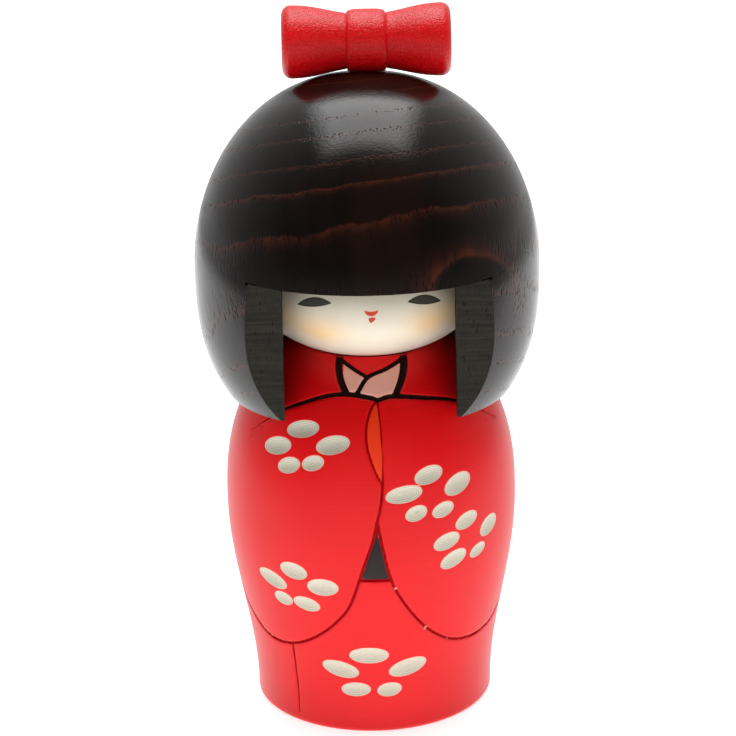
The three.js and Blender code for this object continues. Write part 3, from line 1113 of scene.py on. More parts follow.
PAINT_CHIPS = (
    Petal(8.3, 36.0, 0.9, 0.6, 50),
    Petal(21.9, 25.2, 1.1, 0.6, 30),
    Petal(33.7, 21.0, 0.6, 0.4, 10),
)
# The strokes of a flower drawn flat: sideways, up, length, width and tilt.
FLOWER_STROKES = (
    (0.0, 5.0, 8.2, 4.1, 0),
    (-7.6, 1.0, 8.0, 4.0, -14),
    (7.8, 1.2, 8.2, 4.1, 14),
    (-3.9, -4.2, 6.3, 3.5, 4),
    (4.0, -4.3, 5.6, 3.4, -4),
)


def flower(angle: float, height: float, size: float, lean: float) -> tuple[Petal, ...]:
    """Five petals of one flower.

    Args:
        angle: Where its middle is, round the body.
        height: Height of its middle.
        size: Its size, 1 for one that is 22 mm wide.
        lean: How far it is turned, in degrees.

    Returns:
        The petals.
    """
    turn = math.radians(lean)
    belly = box_mm("kimono_body")[1][0]
    return tuple(
        Petal(
            angle + math.degrees(size * (x * math.cos(turn) - z * math.sin(turn)) / belly),
            height + size * (x * math.sin(turn) + z * math.cos(turn)),
            size * length,
            size * width,
            tilt + lean,
        )
        for x, z, length, width, tilt in FLOWER_STROKES
    )


@dataclass
class KimonoBody:
    """Turned body with its carving.

    The side swells from the foot to the belly as half a cosine wave, the shoulders close over it as
    r = belly * sqrt(1 - (rise / height) ^ fullness), and a dish on top takes the face ball.
    """

    foot_radius: float = 26.0
    foot_round: float = 1.4
    belly_height: float = 47.0
    shoulder_height: float = 39.9
    shoulder_fullness: float = 2.4
    peg_gap: float = 0.3
    ball_gap: float = 0.3
    groove_depth: float = 0.42
    groove_edge: tuple[float, float] = (-0.12, 0.34)  # how far inside a line it starts and is full
    scoop_depth: float = 0.62
    scoop_width: float = 4.0  # width of a petal that is gouged to this depth
    margin: float = 2.0  # how far outside a mark its distance is worked out
    track_step: float = 0.2
    block: int = 4000  # points measured at a time
    fine: float = 0.42  # spacing of the carved skin
    back_flowers: tuple[tuple[float, float, float, float], ...] = (
        (148.0, 60.0, 1.0, 14.0),
        (-150.0, 50.0, 1.05, -10.0),
        (168.0, 16.5, 1.05, 0.0),
        (-117.0, 58.0, 0.9, 12.0),
        (113.0, 14.0, 0.8, 6.0),
    )

    def __post_init__(self) -> None:
        """Takes the sizes that the frame gives."""
        low, high = box_mm("kimono_body")
        self.belly_radius = float(high[0])
        self.rim_height = float(high[2])
        peg_low, peg_high = box_mm("neck_peg")
        self.bore_radius = float(peg_high[0]) + self.peg_gap
        self.bore_floor = float(peg_low[2]) - self.peg_gap
        self.rim_radius = float(self.radius(np.array(self.rim_height)))
        outline = self.side(0.1)
        self.heights = outline[:, 1]
        self.slant = np.r_[0, np.cumsum(np.linalg.norm(np.diff(outline, axis=0), axis=1))]

    def radius(self, height: Array) -> Array:
        """Radius of the turned side and shoulders at a height.

        Args:
            height: Heights over the base.

        Returns:
            The radii.
        """
        share = np.clip((height - self.foot_round) / (self.belly_height - self.foot_round), 0, 1)
        swell = (1 - np.cos(np.pi * share)) / 2
        side = self.foot_radius + (self.belly_radius - self.foot_radius) * swell
        rise = np.clip((height - self.belly_height) / self.shoulder_height, 0, 1)
        shoulder = self.belly_radius * np.sqrt(1 - rise**self.shoulder_fullness)
        return np.where(height < self.belly_height, side, shoulder)

    def side(self, step: float) -> Array:
        """Profile from the foot to the rim of the dish, at close heights."""
        height = np.arange(self.foot_round, self.rim_height, step)
        height = np.append(height, self.rim_height)
        return np.column_stack([self.radius(height), height])

    def outline(self) -> Array:
        """Whole profile: base, rounded foot, side, dish and peg bore, from axis to axis."""
        quarter = np.linspace(0, np.pi / 2, 40)
        curve = np.column_stack([np.sin(quarter) - 1, 1 - np.cos(quarter)])
        foot = (self.foot_radius, 0) + self.foot_round * curve
        ball = FaceBall()
        reach = np.linspace(self.rim_radius, self.bore_radius, 60)
        dish = np.column_stack([reach, ball.underside(reach, self.ball_gap)])
        dish[0] = (self.rim_radius, self.rim_height)
        return profile(
            ([(0, 0), foot[0]], 4.0),
            (foot, 0.3),
            (self.side(0.05), self.fine),
            (dish, 1.0),
            ([dish[-1], (self.bore_radius, self.bore_floor)], 3.0),
            ([(self.bore_radius, self.bore_floor), (0, self.bore_floor)], 2.0),
        )

    def place(self, angle: Array, height: Array) -> Array:
        """Points of the side at angles in degrees and at heights."""
        turn = np.radians(angle)
        radius = self.radius(height)
        return np.column_stack([radius * np.sin(turn), -radius * np.cos(turn), height])

    def around(self, points: Array, mark: Array) -> Array:
        """Numbers of the points that lie in the box of a mark, grown by the margin."""
        low, high = mark.min(0) - self.margin, mark.max(0) + self.margin
        return np.flatnonzero(np.all((points > low) & (points < high), axis=1))

    def line_field(self, points: Array, line: CarvedLine) -> Array:
        """Distance outside a carved line: to its nearest point, less its half width there.

        Args:
            points: Points of the skin.
            line: The line.

        Returns:
            The distance at each point, negative inside the line.
        """
        course = smooth_curve(np.array(line.course))
        rows = np.column_stack([self.place(course[:, 0], course[:, 1]), course[:, 2]])
        track = evenly(rows, self.track_step)
        middle, half_width = track[:, :3], track[:, 3]
        field_mm = np.full(len(points), FAR)
        where = self.around(points, middle)
        for part in np.array_split(where, max(1, len(where) // self.block)):
            gap = np.linalg.norm(points[part, None] - middle[None], axis=2)
            field_mm[part] = (gap - half_width).min(axis=1)
        return field_mm

    def patch_field(self, points: Array, angle: Array, patch: PaintedPatch) -> Array:
        """Distance outside a painted patch: to the nearest point of its edge, negative inside it.

        Args:
            points: Points of the skin.
            angle: Their angles, in degrees.
            patch: The patch.

        Returns:
            The distance at each point.
        """
        corners = np.array(patch.outline)
        closed = np.vstack([corners, corners[:1]])
        share = np.linspace(0, 1, 12, endpoint=False)[:, None, None]
        edge = (closed[:-1] * (1 - share) + closed[1:] * share).reshape(-1, 2)
        border = self.place(edge[:, 0], edge[:, 1])
        field_mm = np.full(len(points), FAR)
        where = self.around(points, border)
        gap = np.linalg.norm(points[where, None] - border[None], axis=2).min(axis=1)
        within = inside(angle[where], points[where, 2], corners)
        field_mm[where] = np.where(within, -gap, gap)
        return field_mm

    def petal_field(self, angle: Array, height: Array, petal: Petal) -> tuple[Array, Array]:
        """Oval of a petal, laid on the skin with arc lengths as its plane.

        Args:
            angle: Angles of the points, in degrees.
            height: Their heights.
            petal: The petal.

        Returns:
            Distance outside the oval, and the share of the way from its middle to its edge.
        """
        turn = (angle - petal.angle + 180) % 360 - 180
        sideways = np.radians(turn) * self.radius(np.array(petal.height))
        middle = np.interp(petal.height, self.heights, self.slant)
        upwards = np.interp(height, self.heights, self.slant) - middle
        tilt = math.radians(petal.tilt)
        length, width = petal.length / 2, petal.width / 2
        along = (sideways * math.cos(tilt) + upwards * math.sin(tilt)) / length
        across = (upwards * math.cos(tilt) - sideways * math.sin(tilt)) / width
        share = np.hypot(along, across)
        steep = np.hypot(along / length, across / width) + 1e-6
        return share * (share - 1) / steep, share

    def carve(self, points: Array) -> tuple[dict[str, Array], Array]:
        """Marks of the paint and the depth of the carving.

        Args:
            points: Points of the uncarved skin.

        Returns:
            Distance outside each paint, and the depth to cut at each point.
        """
        angle = np.degrees(np.arctan2(points[:, 0], -points[:, 1]))
        height = points[:, 2]
        marks = {paint.value: np.full(len(points), FAR) for paint in Paint}
        depth = np.zeros(len(points))
        for line in CARVED_LINES.values():
            gap = self.line_field(points, line)
            marks[line.paint.value] = np.minimum(marks[line.paint.value], gap)
            depth = np.maximum(depth, self.groove_depth * smoothstep(-gap, *self.groove_edge))
        for patch in PAINTED_PATCHES.values():
            gap = self.patch_field(points, angle, patch)
            marks[patch.paint.value] = np.minimum(marks[patch.paint.value], gap)
        petals = [Petal(*stroke) for strokes in FRONT_FLOWERS.values() for stroke in strokes]
        for spot in self.back_flowers:
            petals += flower(*spot)
        for petal in petals:
            gap, share = self.petal_field(angle, height, petal)
            marks[Paint.PETAL.value] = np.minimum(marks[Paint.PETAL.value], gap)
            size = self.scoop_depth * petal.width / self.scoop_width
            depth = np.maximum(depth, size * np.clip(1 - share**2, 0, 1))
        for chip in PAINT_CHIPS:
            gap, _ = self.petal_field(angle, height, chip)
            marks[Paint.CHIP.value] = np.minimum(marks[Paint.CHIP.value], gap)
        outer = np.hypot(points[:, 0], points[:, 1]) > self.rim_radius - TOUCH
        side = outer & (height > self.foot_round)
        for values in marks.values():
            values[~side] = FAR
            np.clip(values, -FAR, FAR, out=values)
        return marks, np.where(side, depth, 0)

    def build(self) -> bpy.types.Object:
        """Builds the carved body: the turned skin, moved inwards by the depth of the carving."""
        angles = round_angles(front=76, fine=0.74, coarse=1.08)
        outline = self.outline()
        grid = closed_round(outline, angles)
        slope = np.gradient(outline, axis=0)
        facing = np.column_stack([slope[:, 1], -slope[:, 0]])
        facing /= np.linalg.norm(facing, axis=1, keepdims=True)
        outward = turned(facing, angles)
        flat = grid.reshape(-1, 3)
        marks, depth = self.carve(flat)
        carved = (flat - outward.reshape(-1, 3) * depth[:, None]).reshape(grid.shape)
        skin = Skin()
        skin.add(carved)
        rounded = np.round(carved.reshape(-1, 3), WELD_DECIMALS)
        order = np.unique(rounded, axis=0, return_index=True)[1]
        piece = skin.make(
            "kimono_body_carved",
            [KimonoLacquer().material()],
            lambda points: {name: values[order] for name, values in marks.items()},
        )
        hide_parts("kimono_body")
        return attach(piece, "body")


# --- Face -------------------------------------------------------------


@dataclass(frozen=True)
class Eye:
    """Painted eye: two arcs between its corners, from (x, height) of its middle."""

    x: float
    height: float
    half_length: float
    lid: float
    under: float
    tilt: float


@dataclass
class FaceBall:
    """Flattened ball, an ellipse turned about +Z, with a bore for the neck peg and one for the crown peg."""

    half_height: float = 13.8
    peg_gap: float = 0.3
    eyes: tuple[Eye, ...] = (
        Eye(-11.45, 96.8, 4.1, 1.5, 0.55, 9.0),
        Eye(11.7, 96.75, 4.1, 1.5, 0.55, -8.0),
    )
    nose: tuple[float, float] = (0.45, 95.05)
    nose_disc: tuple[float, float] = (1.45, 1.45)  # how far its middle is over the nose, and its radius
    nose_bite: tuple[float, float] = (4.6, 3.8)  # the same of the disc that is taken off it
    mouth: tuple[float, float] = (0.55, 94.2)
    # Which way each side of the mouth faces, in degrees, and how far off it lies.
    mouth_sides: tuple[tuple[float, float], ...] = (
        (94.0, 0.5), (180.0, 0.68), (0.0, 0.7), (-50.0, 0.44), (-150.0, 0.64),
    )
    lid_slope: float = 0.9  # distance to an eye's arc, as a share of the way straight up to it
    most_blush_and_painted_light: float = 0.85
    # Spots as (x, height, width and height of the bell, strength). The two on the cheeks are airbrushed
    # blush; the two at the face's sides are painted light, lifting the sides that the hair's walls shade.
    blush_and_painted_light_spots: tuple[tuple[float, float, float, float, float], ...] = (
        (-10.5, 90.8, 5.4, 3.0, 0.75),
        (-17.8, 93.2, 4.0, 3.6, 0.42),
        (12.6, 92.2, 5.0, 3.2, 0.7),
        (18.0, 94.2, 4.2, 3.6, 0.45),
    )

    def __post_init__(self) -> None:
        """Takes the sizes that the frame gives."""
        low, high = box_mm("face_ball")
        self.ball_radius = float(high[0])
        self.middle = float(low[2] + high[2]) / 2
        self.neck_top = float(box_mm("neck_peg")[1][2]) + self.peg_gap
        self.crown_floor = float(box_mm("crown_peg")[0][2]) - self.peg_gap
        self.bore_radius = float(box_mm("crown_peg")[1][0]) + self.peg_gap

    def underside(self, reach: Array, gap: float) -> Array:
        """Height of the lower half of the ball, grown by a gap, at distances from the axis."""
        share = np.clip(reach / (self.ball_radius + gap), 0, 1)
        return self.middle - (self.half_height + gap) * np.sqrt(1 - share**2)

    def outline(self) -> Array:
        """Profile from the neck bore round the outside to the crown bore."""
        tilt = math.asin(math.sqrt(1 - (self.bore_radius / self.ball_radius) ** 2))
        turn = np.linspace(-tilt, tilt, 800)
        ball = np.column_stack(
            [self.ball_radius * np.cos(turn), self.middle + self.half_height * np.sin(turn)]
        )
        chin, brow = 299, 558  # steps between which the painted face lies
        bore = self.bore_radius
        return profile(
            ([(0, self.neck_top), (bore, self.neck_top)], 2.0),
            ([(bore, self.neck_top), ball[0]], 3.0),
            (ball[: chin + 1], 0.5),
            (ball[chin : brow + 1], 0.22),
            (ball[brow:], 0.7),
            ([ball[-1], (bore, self.crown_floor)], 3.0),
            ([(bore, self.crown_floor), (0, self.crown_floor)], 2.0),
        )

    def flat_place(self, points: Array, x: float, height: float) -> tuple[Array, Array]:
        """Lays the ball's skin flat round a spot, with arc lengths as its plane.

        Args:
            points: Points of the skin.
            x: Where the spot is, sideways.
            height: Its height.

        Returns:
            Distances sideways and up from the spot.
        """
        steps = np.linspace(-np.pi / 2, np.pi / 2, 2001)
        course = np.column_stack([self.ball_radius * np.cos(steps), self.half_height * np.sin(steps)])
        arc = np.r_[0, np.cumsum(np.linalg.norm(np.diff(course, axis=0), axis=1))]
        lean = np.arcsin(np.clip((points[:, 2] - self.middle) / self.half_height, -1, 1))
        spot = math.asin((height - self.middle) / self.half_height)
        turn = np.arctan2(points[:, 0], -points[:, 1])
        aside = turn - math.asin(x / (self.ball_radius * math.cos(spot)))
        up = np.interp(lean, steps, arc) - np.interp(spot, steps, arc)
        return self.ball_radius * math.cos(spot) * aside, up

    def eye_field(self, points: Array, eye: Eye) -> Array:
        """Distance outside an eye, which lies between two arcs h * (1 - u^2) over its half length.

        Args:
            points: Points of the skin.
            eye: The eye.

        Returns:
            The distance at each point, negative inside the eye.
        """
        u, v = self.flat_place(points, eye.x, eye.height)
        tilt = math.radians(eye.tilt)
        u, v = u * math.cos(tilt) + v * math.sin(tilt), v * math.cos(tilt) - u * math.sin(tilt)
        bulge = 1 - (u / eye.half_length) ** 2
        return self.lid_slope * np.maximum(v - eye.lid * bulge, -eye.under * bulge - v)

    def paint(self, points: Array) -> dict[str, Array]:
        """Painted face.

        The nose is a crescent, one disc less another. The mouth is what is left of the plane within
        five straight sides, point down. Each spot of blush and of its painted light is a bell, exp(-u^2 -
        v^2).

        Args:
            points: Points of the skin.

        Returns:
            Distances outside the eyes, the nose and the mouth, and the strength of the blush with its painted
            light.
        """
        ahead = points[:, 1] < 0
        u, v = self.flat_place(points, *self.nose)
        (disc, disc_radius), (bite, bite_radius) = self.nose_disc, self.nose_bite
        nose = np.maximum(np.hypot(u, v - disc) - disc_radius, bite_radius - np.hypot(u, v - bite))
        u, v = self.flat_place(points, *self.mouth)
        facing, reach = np.array(self.mouth_sides).T[..., None]
        sides = np.radians(facing)
        mouth = (u * np.cos(sides) + v * np.sin(sides) - reach).max(axis=0)
        eyes = np.min([self.eye_field(points, eye) for eye in self.eyes], axis=0)
        found = {"eye": eyes, "nose": nose, "mouth": mouth}
        marks = {name: np.where(ahead, np.clip(gap, -FAR, FAR), FAR) for name, gap in found.items()}
        blush = np.zeros(len(points))
        for x, height, width, tall, strength in self.blush_and_painted_light_spots:
            u, v = self.flat_place(points, x, height)
            blush += strength * np.exp(-((u / width) ** 2) - (v / tall) ** 2)
        marks["blush"] = np.where(ahead, np.clip(blush, 0, self.most_blush_and_painted_light), 0)
        return marks

    def build(self) -> bpy.types.Object:
        """Builds the painted ball."""
        skin = Skin()
        skin.add(closed_round(self.outline(), round_angles(front=50, fine=0.5, coarse=2.0)))
        piece = skin.make("face_ball_painted", [FacePaint().material()], self.paint)
        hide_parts("face_ball")
        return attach(piece, "head")


# --- Bow --------------------------------------------------------------


@dataclass
class HairBow:
    """Bow turned along X: a knot between two flares that end in rounded rims.

    The knot's radius is waist + rise * sqrt(1 - s^4), and a flare's is waist + rise * sin(s * 90 deg)^p.
    """

    waist_radius: float = 5.95
    knot_radius: float = 6.75
    knot_half_length: float = 4.2
    flare_power: float = 1.3
    end_round: float = 2.0
    groove: float = 0.14
    groove_half_width: float = 0.5

    def __post_init__(self) -> None:
        """Takes the sizes that the frame gives."""
        low, high = box_mm("hair_bow")
        self.centre = (low + high) / 2
        self.half_length = float(high[0] - low[0]) / 2
        self.flare_radius = float(high[2] - low[2]) / 2

    def radius(self, distance: Array) -> Array:
        """Radius of the knot and the flares at a distance from the middle, without the rims.

        Args:
            distance: Distances along the bow, of either sign.

        Returns:
            The radii.
        """
        flare_end = self.half_length - self.end_round
        inner = np.clip(np.abs(distance) / self.knot_half_length, 0, 1)
        knot = self.waist_radius + (self.knot_radius - self.waist_radius) * np.sqrt(1 - inner**4)
        outer = (np.abs(distance) - self.knot_half_length) / (flare_end - self.knot_half_length)
        swell = np.sin(np.clip(outer, 0, 1) * np.pi / 2) ** self.flare_power
        flare = self.waist_radius + (self.flare_radius - self.waist_radius) * swell
        return np.where(np.abs(distance) < self.knot_half_length, knot, flare)

    def underside(self, x: Array, y: Array, gap: float) -> Array:
        """Height of the bow's lower side, grown by a gap: its axis less sqrt(r^2 - aside^2).

        Args:
            x: Where to measure, along the bow.
            y: Where to measure, across it.
            gap: How much the bow is grown.

        Returns:
            The height, endless where there is no bow.
        """
        reach = self.radius(x - self.centre[0]) + gap
        aside = np.abs(y - self.centre[1])
        near = (aside < reach) & (np.abs(x - self.centre[0]) < self.half_length)
        drop = np.sqrt(np.clip(reach**2 - aside**2, 0, None))
        return np.where(near, self.centre[2] - drop, np.inf)

    def build(self) -> bpy.types.Object:
        """Builds the bow."""
        flare_end = self.half_length - self.end_round
        distance = np.linspace(0, flare_end, 600)
        near = np.clip(1 - np.abs(distance - self.knot_half_length) / self.groove_half_width, 0, 1)
        half = np.column_stack([self.radius(distance) - self.groove * near**2, distance])
        quarter = np.linspace(0, np.pi / 2, 40)
        curve = np.column_stack([np.cos(quarter) - 1, np.sin(quarter)])
        rim = (self.flare_radius, flare_end) + self.end_round * curve
        upper = profile((half, 0.2), (rim, 0.25), ([rim[-1], (0, self.half_length)], 0.8))
        lower = upper[:0:-1] * (1, -1)
        grid = closed_round(np.vstack([lower, upper]), np.linspace(0, 2 * np.pi, 181))
        skin = Skin()
        skin.add(grid[..., [2, 0, 1]] + self.centre)
        piece = skin.make("hair_bow_turned", [BowLacquer().material()])
        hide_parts("hair_bow")
        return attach(piece, "head")


# --- Hair -------------------------------------------------------------

SAWN = 1  # material slot of the sawn faces; the turned skin has slot 0


@dataclass
class HairShell:
    """Turned hair block, bored out over the face and sawn open in front of it.

    Below its widest level the side is r = R - (R - rim) * (1 - s)^fullness, and over it the crown is
    r = R * (1 - (rise / height)^rounding)^(1 / fullness). A level cut makes the fringe, a leaning
    plane makes the two flats, and a slot between them opens the face.
    """

    widest_above_face: float = 6.1
    rim_radius: float = 30.9
    side_fullness: float = 2.9
    crown_rounding: float = 1.87
    crown_fullness: float = 2.3
    bore_radius: float = 27.4
    fringe_above_face: float = 9.4
    face_recess: float = 1.9
    lean_degrees: float = 5.2
    window_half_width: float = 18.1
    gap: float = 0.3
    cap_radius: float = 20.0
    lock_columns: int = 10
    fringe_columns: int = 90
    back_columns: int = 250
    wall_rows: int = 22
    side_rows: int = 46
    crown_step: float = 0.75
    cap_rows: int = 45
    ceiling_rows: int = 13
    bend_power: int = 40

    def __post_init__(self) -> None:
        """Takes the sizes that the frame gives."""
        low, high = box_mm("hair_shell")
        self.ball = FaceBall()
        self.hair_radius = float(high[0])
        self.rim_height = float(low[2])
        self.crown_top = float(high[2])
        self.widest = self.ball.middle + self.widest_above_face
        self.crown_height = self.crown_top - self.widest
        self.fringe = self.ball.middle + self.fringe_above_face

    def side_radius(self, height: Array) -> Array:
        """Radius of the outside at a height.

        Args:
            height: Heights over the base.

        Returns:
            The radii.
        """
        share = np.clip((height - self.rim_height) / (self.widest - self.rim_height), 0, 1)
        side = self.hair_radius - (self.hair_radius - self.rim_radius) * (1 - share) ** self.side_fullness
        rise = np.clip((height - self.widest) / self.crown_height, 0, 1)
        crown = self.hair_radius * (1 - rise**self.crown_rounding) ** (1 / self.crown_fullness)
        return np.where(height < self.widest, side, crown)

    def crown_at(self, reach: Array) -> Array:
        """Height of the crown at a distance from the axis."""
        share = (np.asarray(reach) / self.hair_radius) ** self.crown_fullness
        return self.widest + self.crown_height * (1 - share) ** (1 / self.crown_rounding)

    def bore(self, height: Array) -> Array:
        """Radius of the inside: a cone up to the middle of the face, then the ball grown by a gap.

        Args:
            height: Heights over the base.

        Returns:
            The radii.
        """
        share = (height - self.rim_height) / (self.ball.middle - self.rim_height)
        wide = self.ball.ball_radius + self.gap
        cone = self.bore_radius + (wide - self.bore_radius) * share
        rise = np.clip((height - self.ball.middle) / (self.ball.half_height + self.gap), 0, 1)
        return np.where(height < self.ball.middle, cone, wide * np.sqrt(1 - rise**2))

    def flat_y(self, height: Array) -> Array:
        """How far forward the flats stand at a height."""
        lean = math.tan(math.radians(self.lean_degrees))
        return -(self.ball.ball_radius + self.face_recess) - lean * (height - self.ball.middle)

    @staticmethod
    def ring(radius: Array, angle: Array, height: Array) -> Array:
        """Points at radii, angles in radians and heights, which are spread over each other."""
        x, y, z = np.broadcast_arrays(radius * np.sin(angle), -radius * np.cos(angle), height)
        return np.stack([x, y, z], axis=-1)

    def crown(self, skin: Skin, angles: Array) -> None:
        """Adds the outside over the fringe, the seat of the bow and the bore of its peg.

        The crown's rings are circles whose middle moves from the axis to the bow's peg, so that the
        grid closes on the bore. Under the bow the skin is lowered to the bow's side plus a gap.

        Args:
            skin: The skin to add to.
            angles: Angles of the columns, in radians.
        """
        heights = np.linspace(self.fringe, float(self.crown_at(self.cap_radius)), 700)
        side = evenly(np.column_stack([self.side_radius(heights), heights]), self.crown_step)
        skin.add(turned(side, angles))
        peg_low, peg_high = box_mm("bow_peg")
        hole = (peg_high[0] - peg_low[0]) / 2 + self.gap
        middle = (peg_low + peg_high)[:2] / 2
        floor = float(peg_low[2]) - self.gap
        inwards = np.linspace(0, 1, self.cap_rows + 1)[:, None]
        reach = self.cap_radius + (hole - self.cap_radius) * inwards
        x = middle[0] * inwards + reach * np.sin(angles)
        y = middle[1] * inwards - reach * np.cos(angles)
        z = np.minimum(self.crown_at(np.hypot(x, y)), HairBow().underside(x, y, self.gap))
        cap = np.stack([x, y, z], axis=-1)
        cap[0] = turned(side[-1:], angles)[0]
        skin.add(cap)
        lip = cap[-1:]
        bottom = lip * (1, 1, 0) + (0, 0, floor)
        centre = np.zeros_like(lip) + (*middle, floor)
        skin.add(np.vstack([lip, bottom, centre]), finish=SAWN)

    def locks(self, skin: Skin, heights: Array, back: Array) -> tuple[Array, Array, Array, Array]:
        """Adds the outside below the fringe, the flats, the slot's walls and the bore below the fringe.

        Args:
            skin: The skin to add to.
            heights: Heights of the rows.
            back: Shares of the way round the back, from the right lock to the left one.

        Returns:
            Lowest rows of the outside, the right flat, the right wall and the bore.
        """
        rows = heights[:, None]
        radius, flat = self.side_radius(rows), self.flat_y(rows)
        edge = np.arccos(-flat / radius)
        outside = self.ring(radius, edge + (2 * np.pi - 2 * edge) * back, rows)
        skin.add(outside)
        share = np.linspace(0, 1, self.lock_columns + 1)
        across = self.window_half_width + (radius * np.sin(edge) - self.window_half_width) * share
        flats = np.stack(np.broadcast_arrays(across, flat, rows), axis=-1)
        mirror = np.array([-1.0, 1.0, 1.0])
        skin.add(flats, finish=SAWN)
        skin.add((flats * mirror)[:, ::-1], finish=SAWN)
        bore = self.bore(rows)
        deep = -np.sqrt(bore**2 - self.window_half_width**2)
        inwards = np.linspace(0, 1, self.wall_rows + 1)
        depths = flat + (deep - flat) * inwards
        wall = np.stack(np.broadcast_arrays(self.window_half_width, depths, rows), axis=-1).astype(float)
        skin.add(wall, turn=True, finish=SAWN)
        skin.add(wall * mirror, finish=SAWN)
        opening = np.arcsin(self.window_half_width / bore)
        inner = self.ring(bore, opening + (2 * np.pi - 2 * opening) * back, rows)
        skin.add(inner, turn=True, finish=SAWN)
        return outside[0], flats[0], wall[0], inner[0]

    def rim(self, skin: Skin, outside: Array, flat: Array, wall: Array, inner: Array) -> None:
        """Adds the rim: a ruled band from the outside to the bore, bent at its ends to the locks' corners.

        The bend is the lock's own edge less the ruled line, and fades with the power of the distance.

        Args:
            skin: The skin to add to.
            outside: Lowest row of the outside.
            flat: Lowest row of the right flat.
            wall: Lowest row of the slot's right wall.
            inner: Lowest row of the bore.
        """
        corner = np.vstack([flat[::-1], wall[1:]])
        share = np.linspace(0, 1, len(corner))[:, None, None]
        band = outside * (1 - share) + inner * share
        round_it = np.linspace(0, 1, band.shape[1])[None, :, None]
        right = corner[:, None] - band[:, :1]
        left = right * (-1, 1, 1)
        bend = right * (1 - round_it) ** self.bend_power + left * round_it**self.bend_power
        skin.add(band + bend, turn=True, finish=SAWN)

    def ceiling(self, skin: Skin, across: Array) -> None:
        """Adds the fringe's underside: from the outside to the flats, and on to the bore within the slot.

        Args:
            skin: The skin to add to.
            across: Where the columns lie, from the left lock's corner to the right one's.
        """
        level = float(self.fringe)
        flat = float(self.flat_y(self.fringe))
        outer = -np.sqrt(np.clip(float(self.side_radius(level)) ** 2 - across**2, 0, None))
        share = np.linspace(0, 1, self.ceiling_rows + 1)[:, None]
        front = np.stack(np.broadcast_arrays(across, outer + (flat - outer) * share, level), axis=-1)
        skin.add(front, turn=True, finish=SAWN)
        slot = across[self.lock_columns : -self.lock_columns]
        arc = -np.sqrt(float(self.bore(level)) ** 2 - slot**2)
        share = np.linspace(0, 1, self.wall_rows + 1)[:, None]
        under = np.stack(np.broadcast_arrays(slot, flat + (arc - flat) * share, level), axis=-1)
        skin.add(under, turn=True, finish=SAWN)

    def dome(self, skin: Skin, opening: float, back: Array) -> None:
        """Adds the inside over the fringe: the ball grown by the gap, and the bore of the crown peg.

        Args:
            skin: The skin to add to.
            opening: Half of the slot's width at the bore, as an angle in radians.
            back: Shares of the way round the back, from the right lock to the left one.
        """
        level = float(self.fringe)
        tall, wide = self.ball.half_height + self.gap, self.ball.ball_radius + self.gap
        end = self.ball.bore_radius
        turn = np.linspace(math.asin((level - self.ball.middle) / tall), math.acos(end / wide), 200)
        arc = np.column_stack([wide * np.cos(turn), self.ball.middle + tall * np.sin(turn)])
        top = float(box_mm("crown_peg")[1][2]) + self.gap
        inner = profile((arc, 1.0), ([arc[-1], (end, top)], 3.0), ([(end, top), (0, top)], 2.0))
        inner[0] = (float(self.bore(level)), level)
        slot = np.linspace(-opening, opening, self.fringe_columns + 1)
        angles = np.r_[slot[:-1], opening + (2 * np.pi - 2 * opening) * back]
        skin.add(turned(inner, angles), turn=True, finish=SAWN)

    def build(self) -> bpy.types.Object:
        """Builds the hair."""
        skin = Skin()
        level = float(self.fringe)
        radius, flat = float(self.side_radius(level)), float(self.flat_y(level))
        corner = math.sqrt(radius**2 - flat**2)
        bore = float(self.bore(level))
        opening = math.asin(self.window_half_width / bore)
        slot = bore * np.sin(np.linspace(-opening, opening, self.fringe_columns + 1))
        slot[[0, -1]] = -self.window_half_width, self.window_half_width
        lock = np.linspace(self.window_half_width, corner, self.lock_columns + 1)
        across = np.r_[-lock[:0:-1], slot, lock[1:]]
        edge = math.asin(corner / radius)
        back = np.linspace(0, 1, self.back_columns + 1)
        front = np.arcsin(np.clip(across / radius, -1, 1))
        angles = np.r_[front[:-1], edge + (2 * np.pi - 2 * edge) * back]
        self.crown(skin, angles)
        heights = np.linspace(self.rim_height, level, self.side_rows + 1)
        self.rim(skin, *self.locks(skin, heights, back))
        self.ceiling(skin, across)
        self.dome(skin, opening, back)
        piece = skin.make("hair_shell_turned", [TurnedStain().material(), SawnStain().material()])
        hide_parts("hair_shell")
        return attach(piece, "head")


# --- Pegs -------------------------------------------------------------


@dataclass
class Dowel:
    """Turned dowel with chamfered ends and shallow flutes for the glue."""

    node: str
    body: str
    chamfer: float = 0.6
    flutes: int = 18
    flute_depth: float = 0.12

    def build(self, material: bpy.types.Material) -> bpy.types.Object:
        """Builds the dowel in its CAD node's place.

        Args:
            material: The finish, which all dowels share.

        Returns:
            The piece.
        """
        low, high = box_mm(self.node)
        middle = (low + high) / 2
        radius = float(high[0] - low[0]) / 2
        inner = radius - self.chamfer
        outline = profile(
            ([(0, low[2]), (inner, low[2])], 1.0),
            ([(inner, low[2]), (radius, low[2] + self.chamfer)], 0.3),
            ([(radius, low[2] + self.chamfer), (radius, high[2] - self.chamfer)], 1.0),
            ([(radius, high[2] - self.chamfer), (inner, high[2])], 0.3),
            ([(inner, high[2]), (0, high[2])], 1.0),
        )
        angles = np.linspace(0, 2 * np.pi, 8 * self.flutes + 1)
        grid = closed_round(outline, angles)
        ripple = 1 - self.flute_depth / radius * (1 - np.cos(self.flutes * angles)) / 2
        grid[..., :2] *= ripple[None, :, None]
        grid[:, -1] = grid[:, 0]
        skin = Skin()
        skin.add(grid + (middle[0], middle[1], 0))
        piece = skin.make(self.node + "_dowel", [material])
        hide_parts(self.node)
        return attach(piece, self.body)


# --- Studio -----------------------------------------------------------


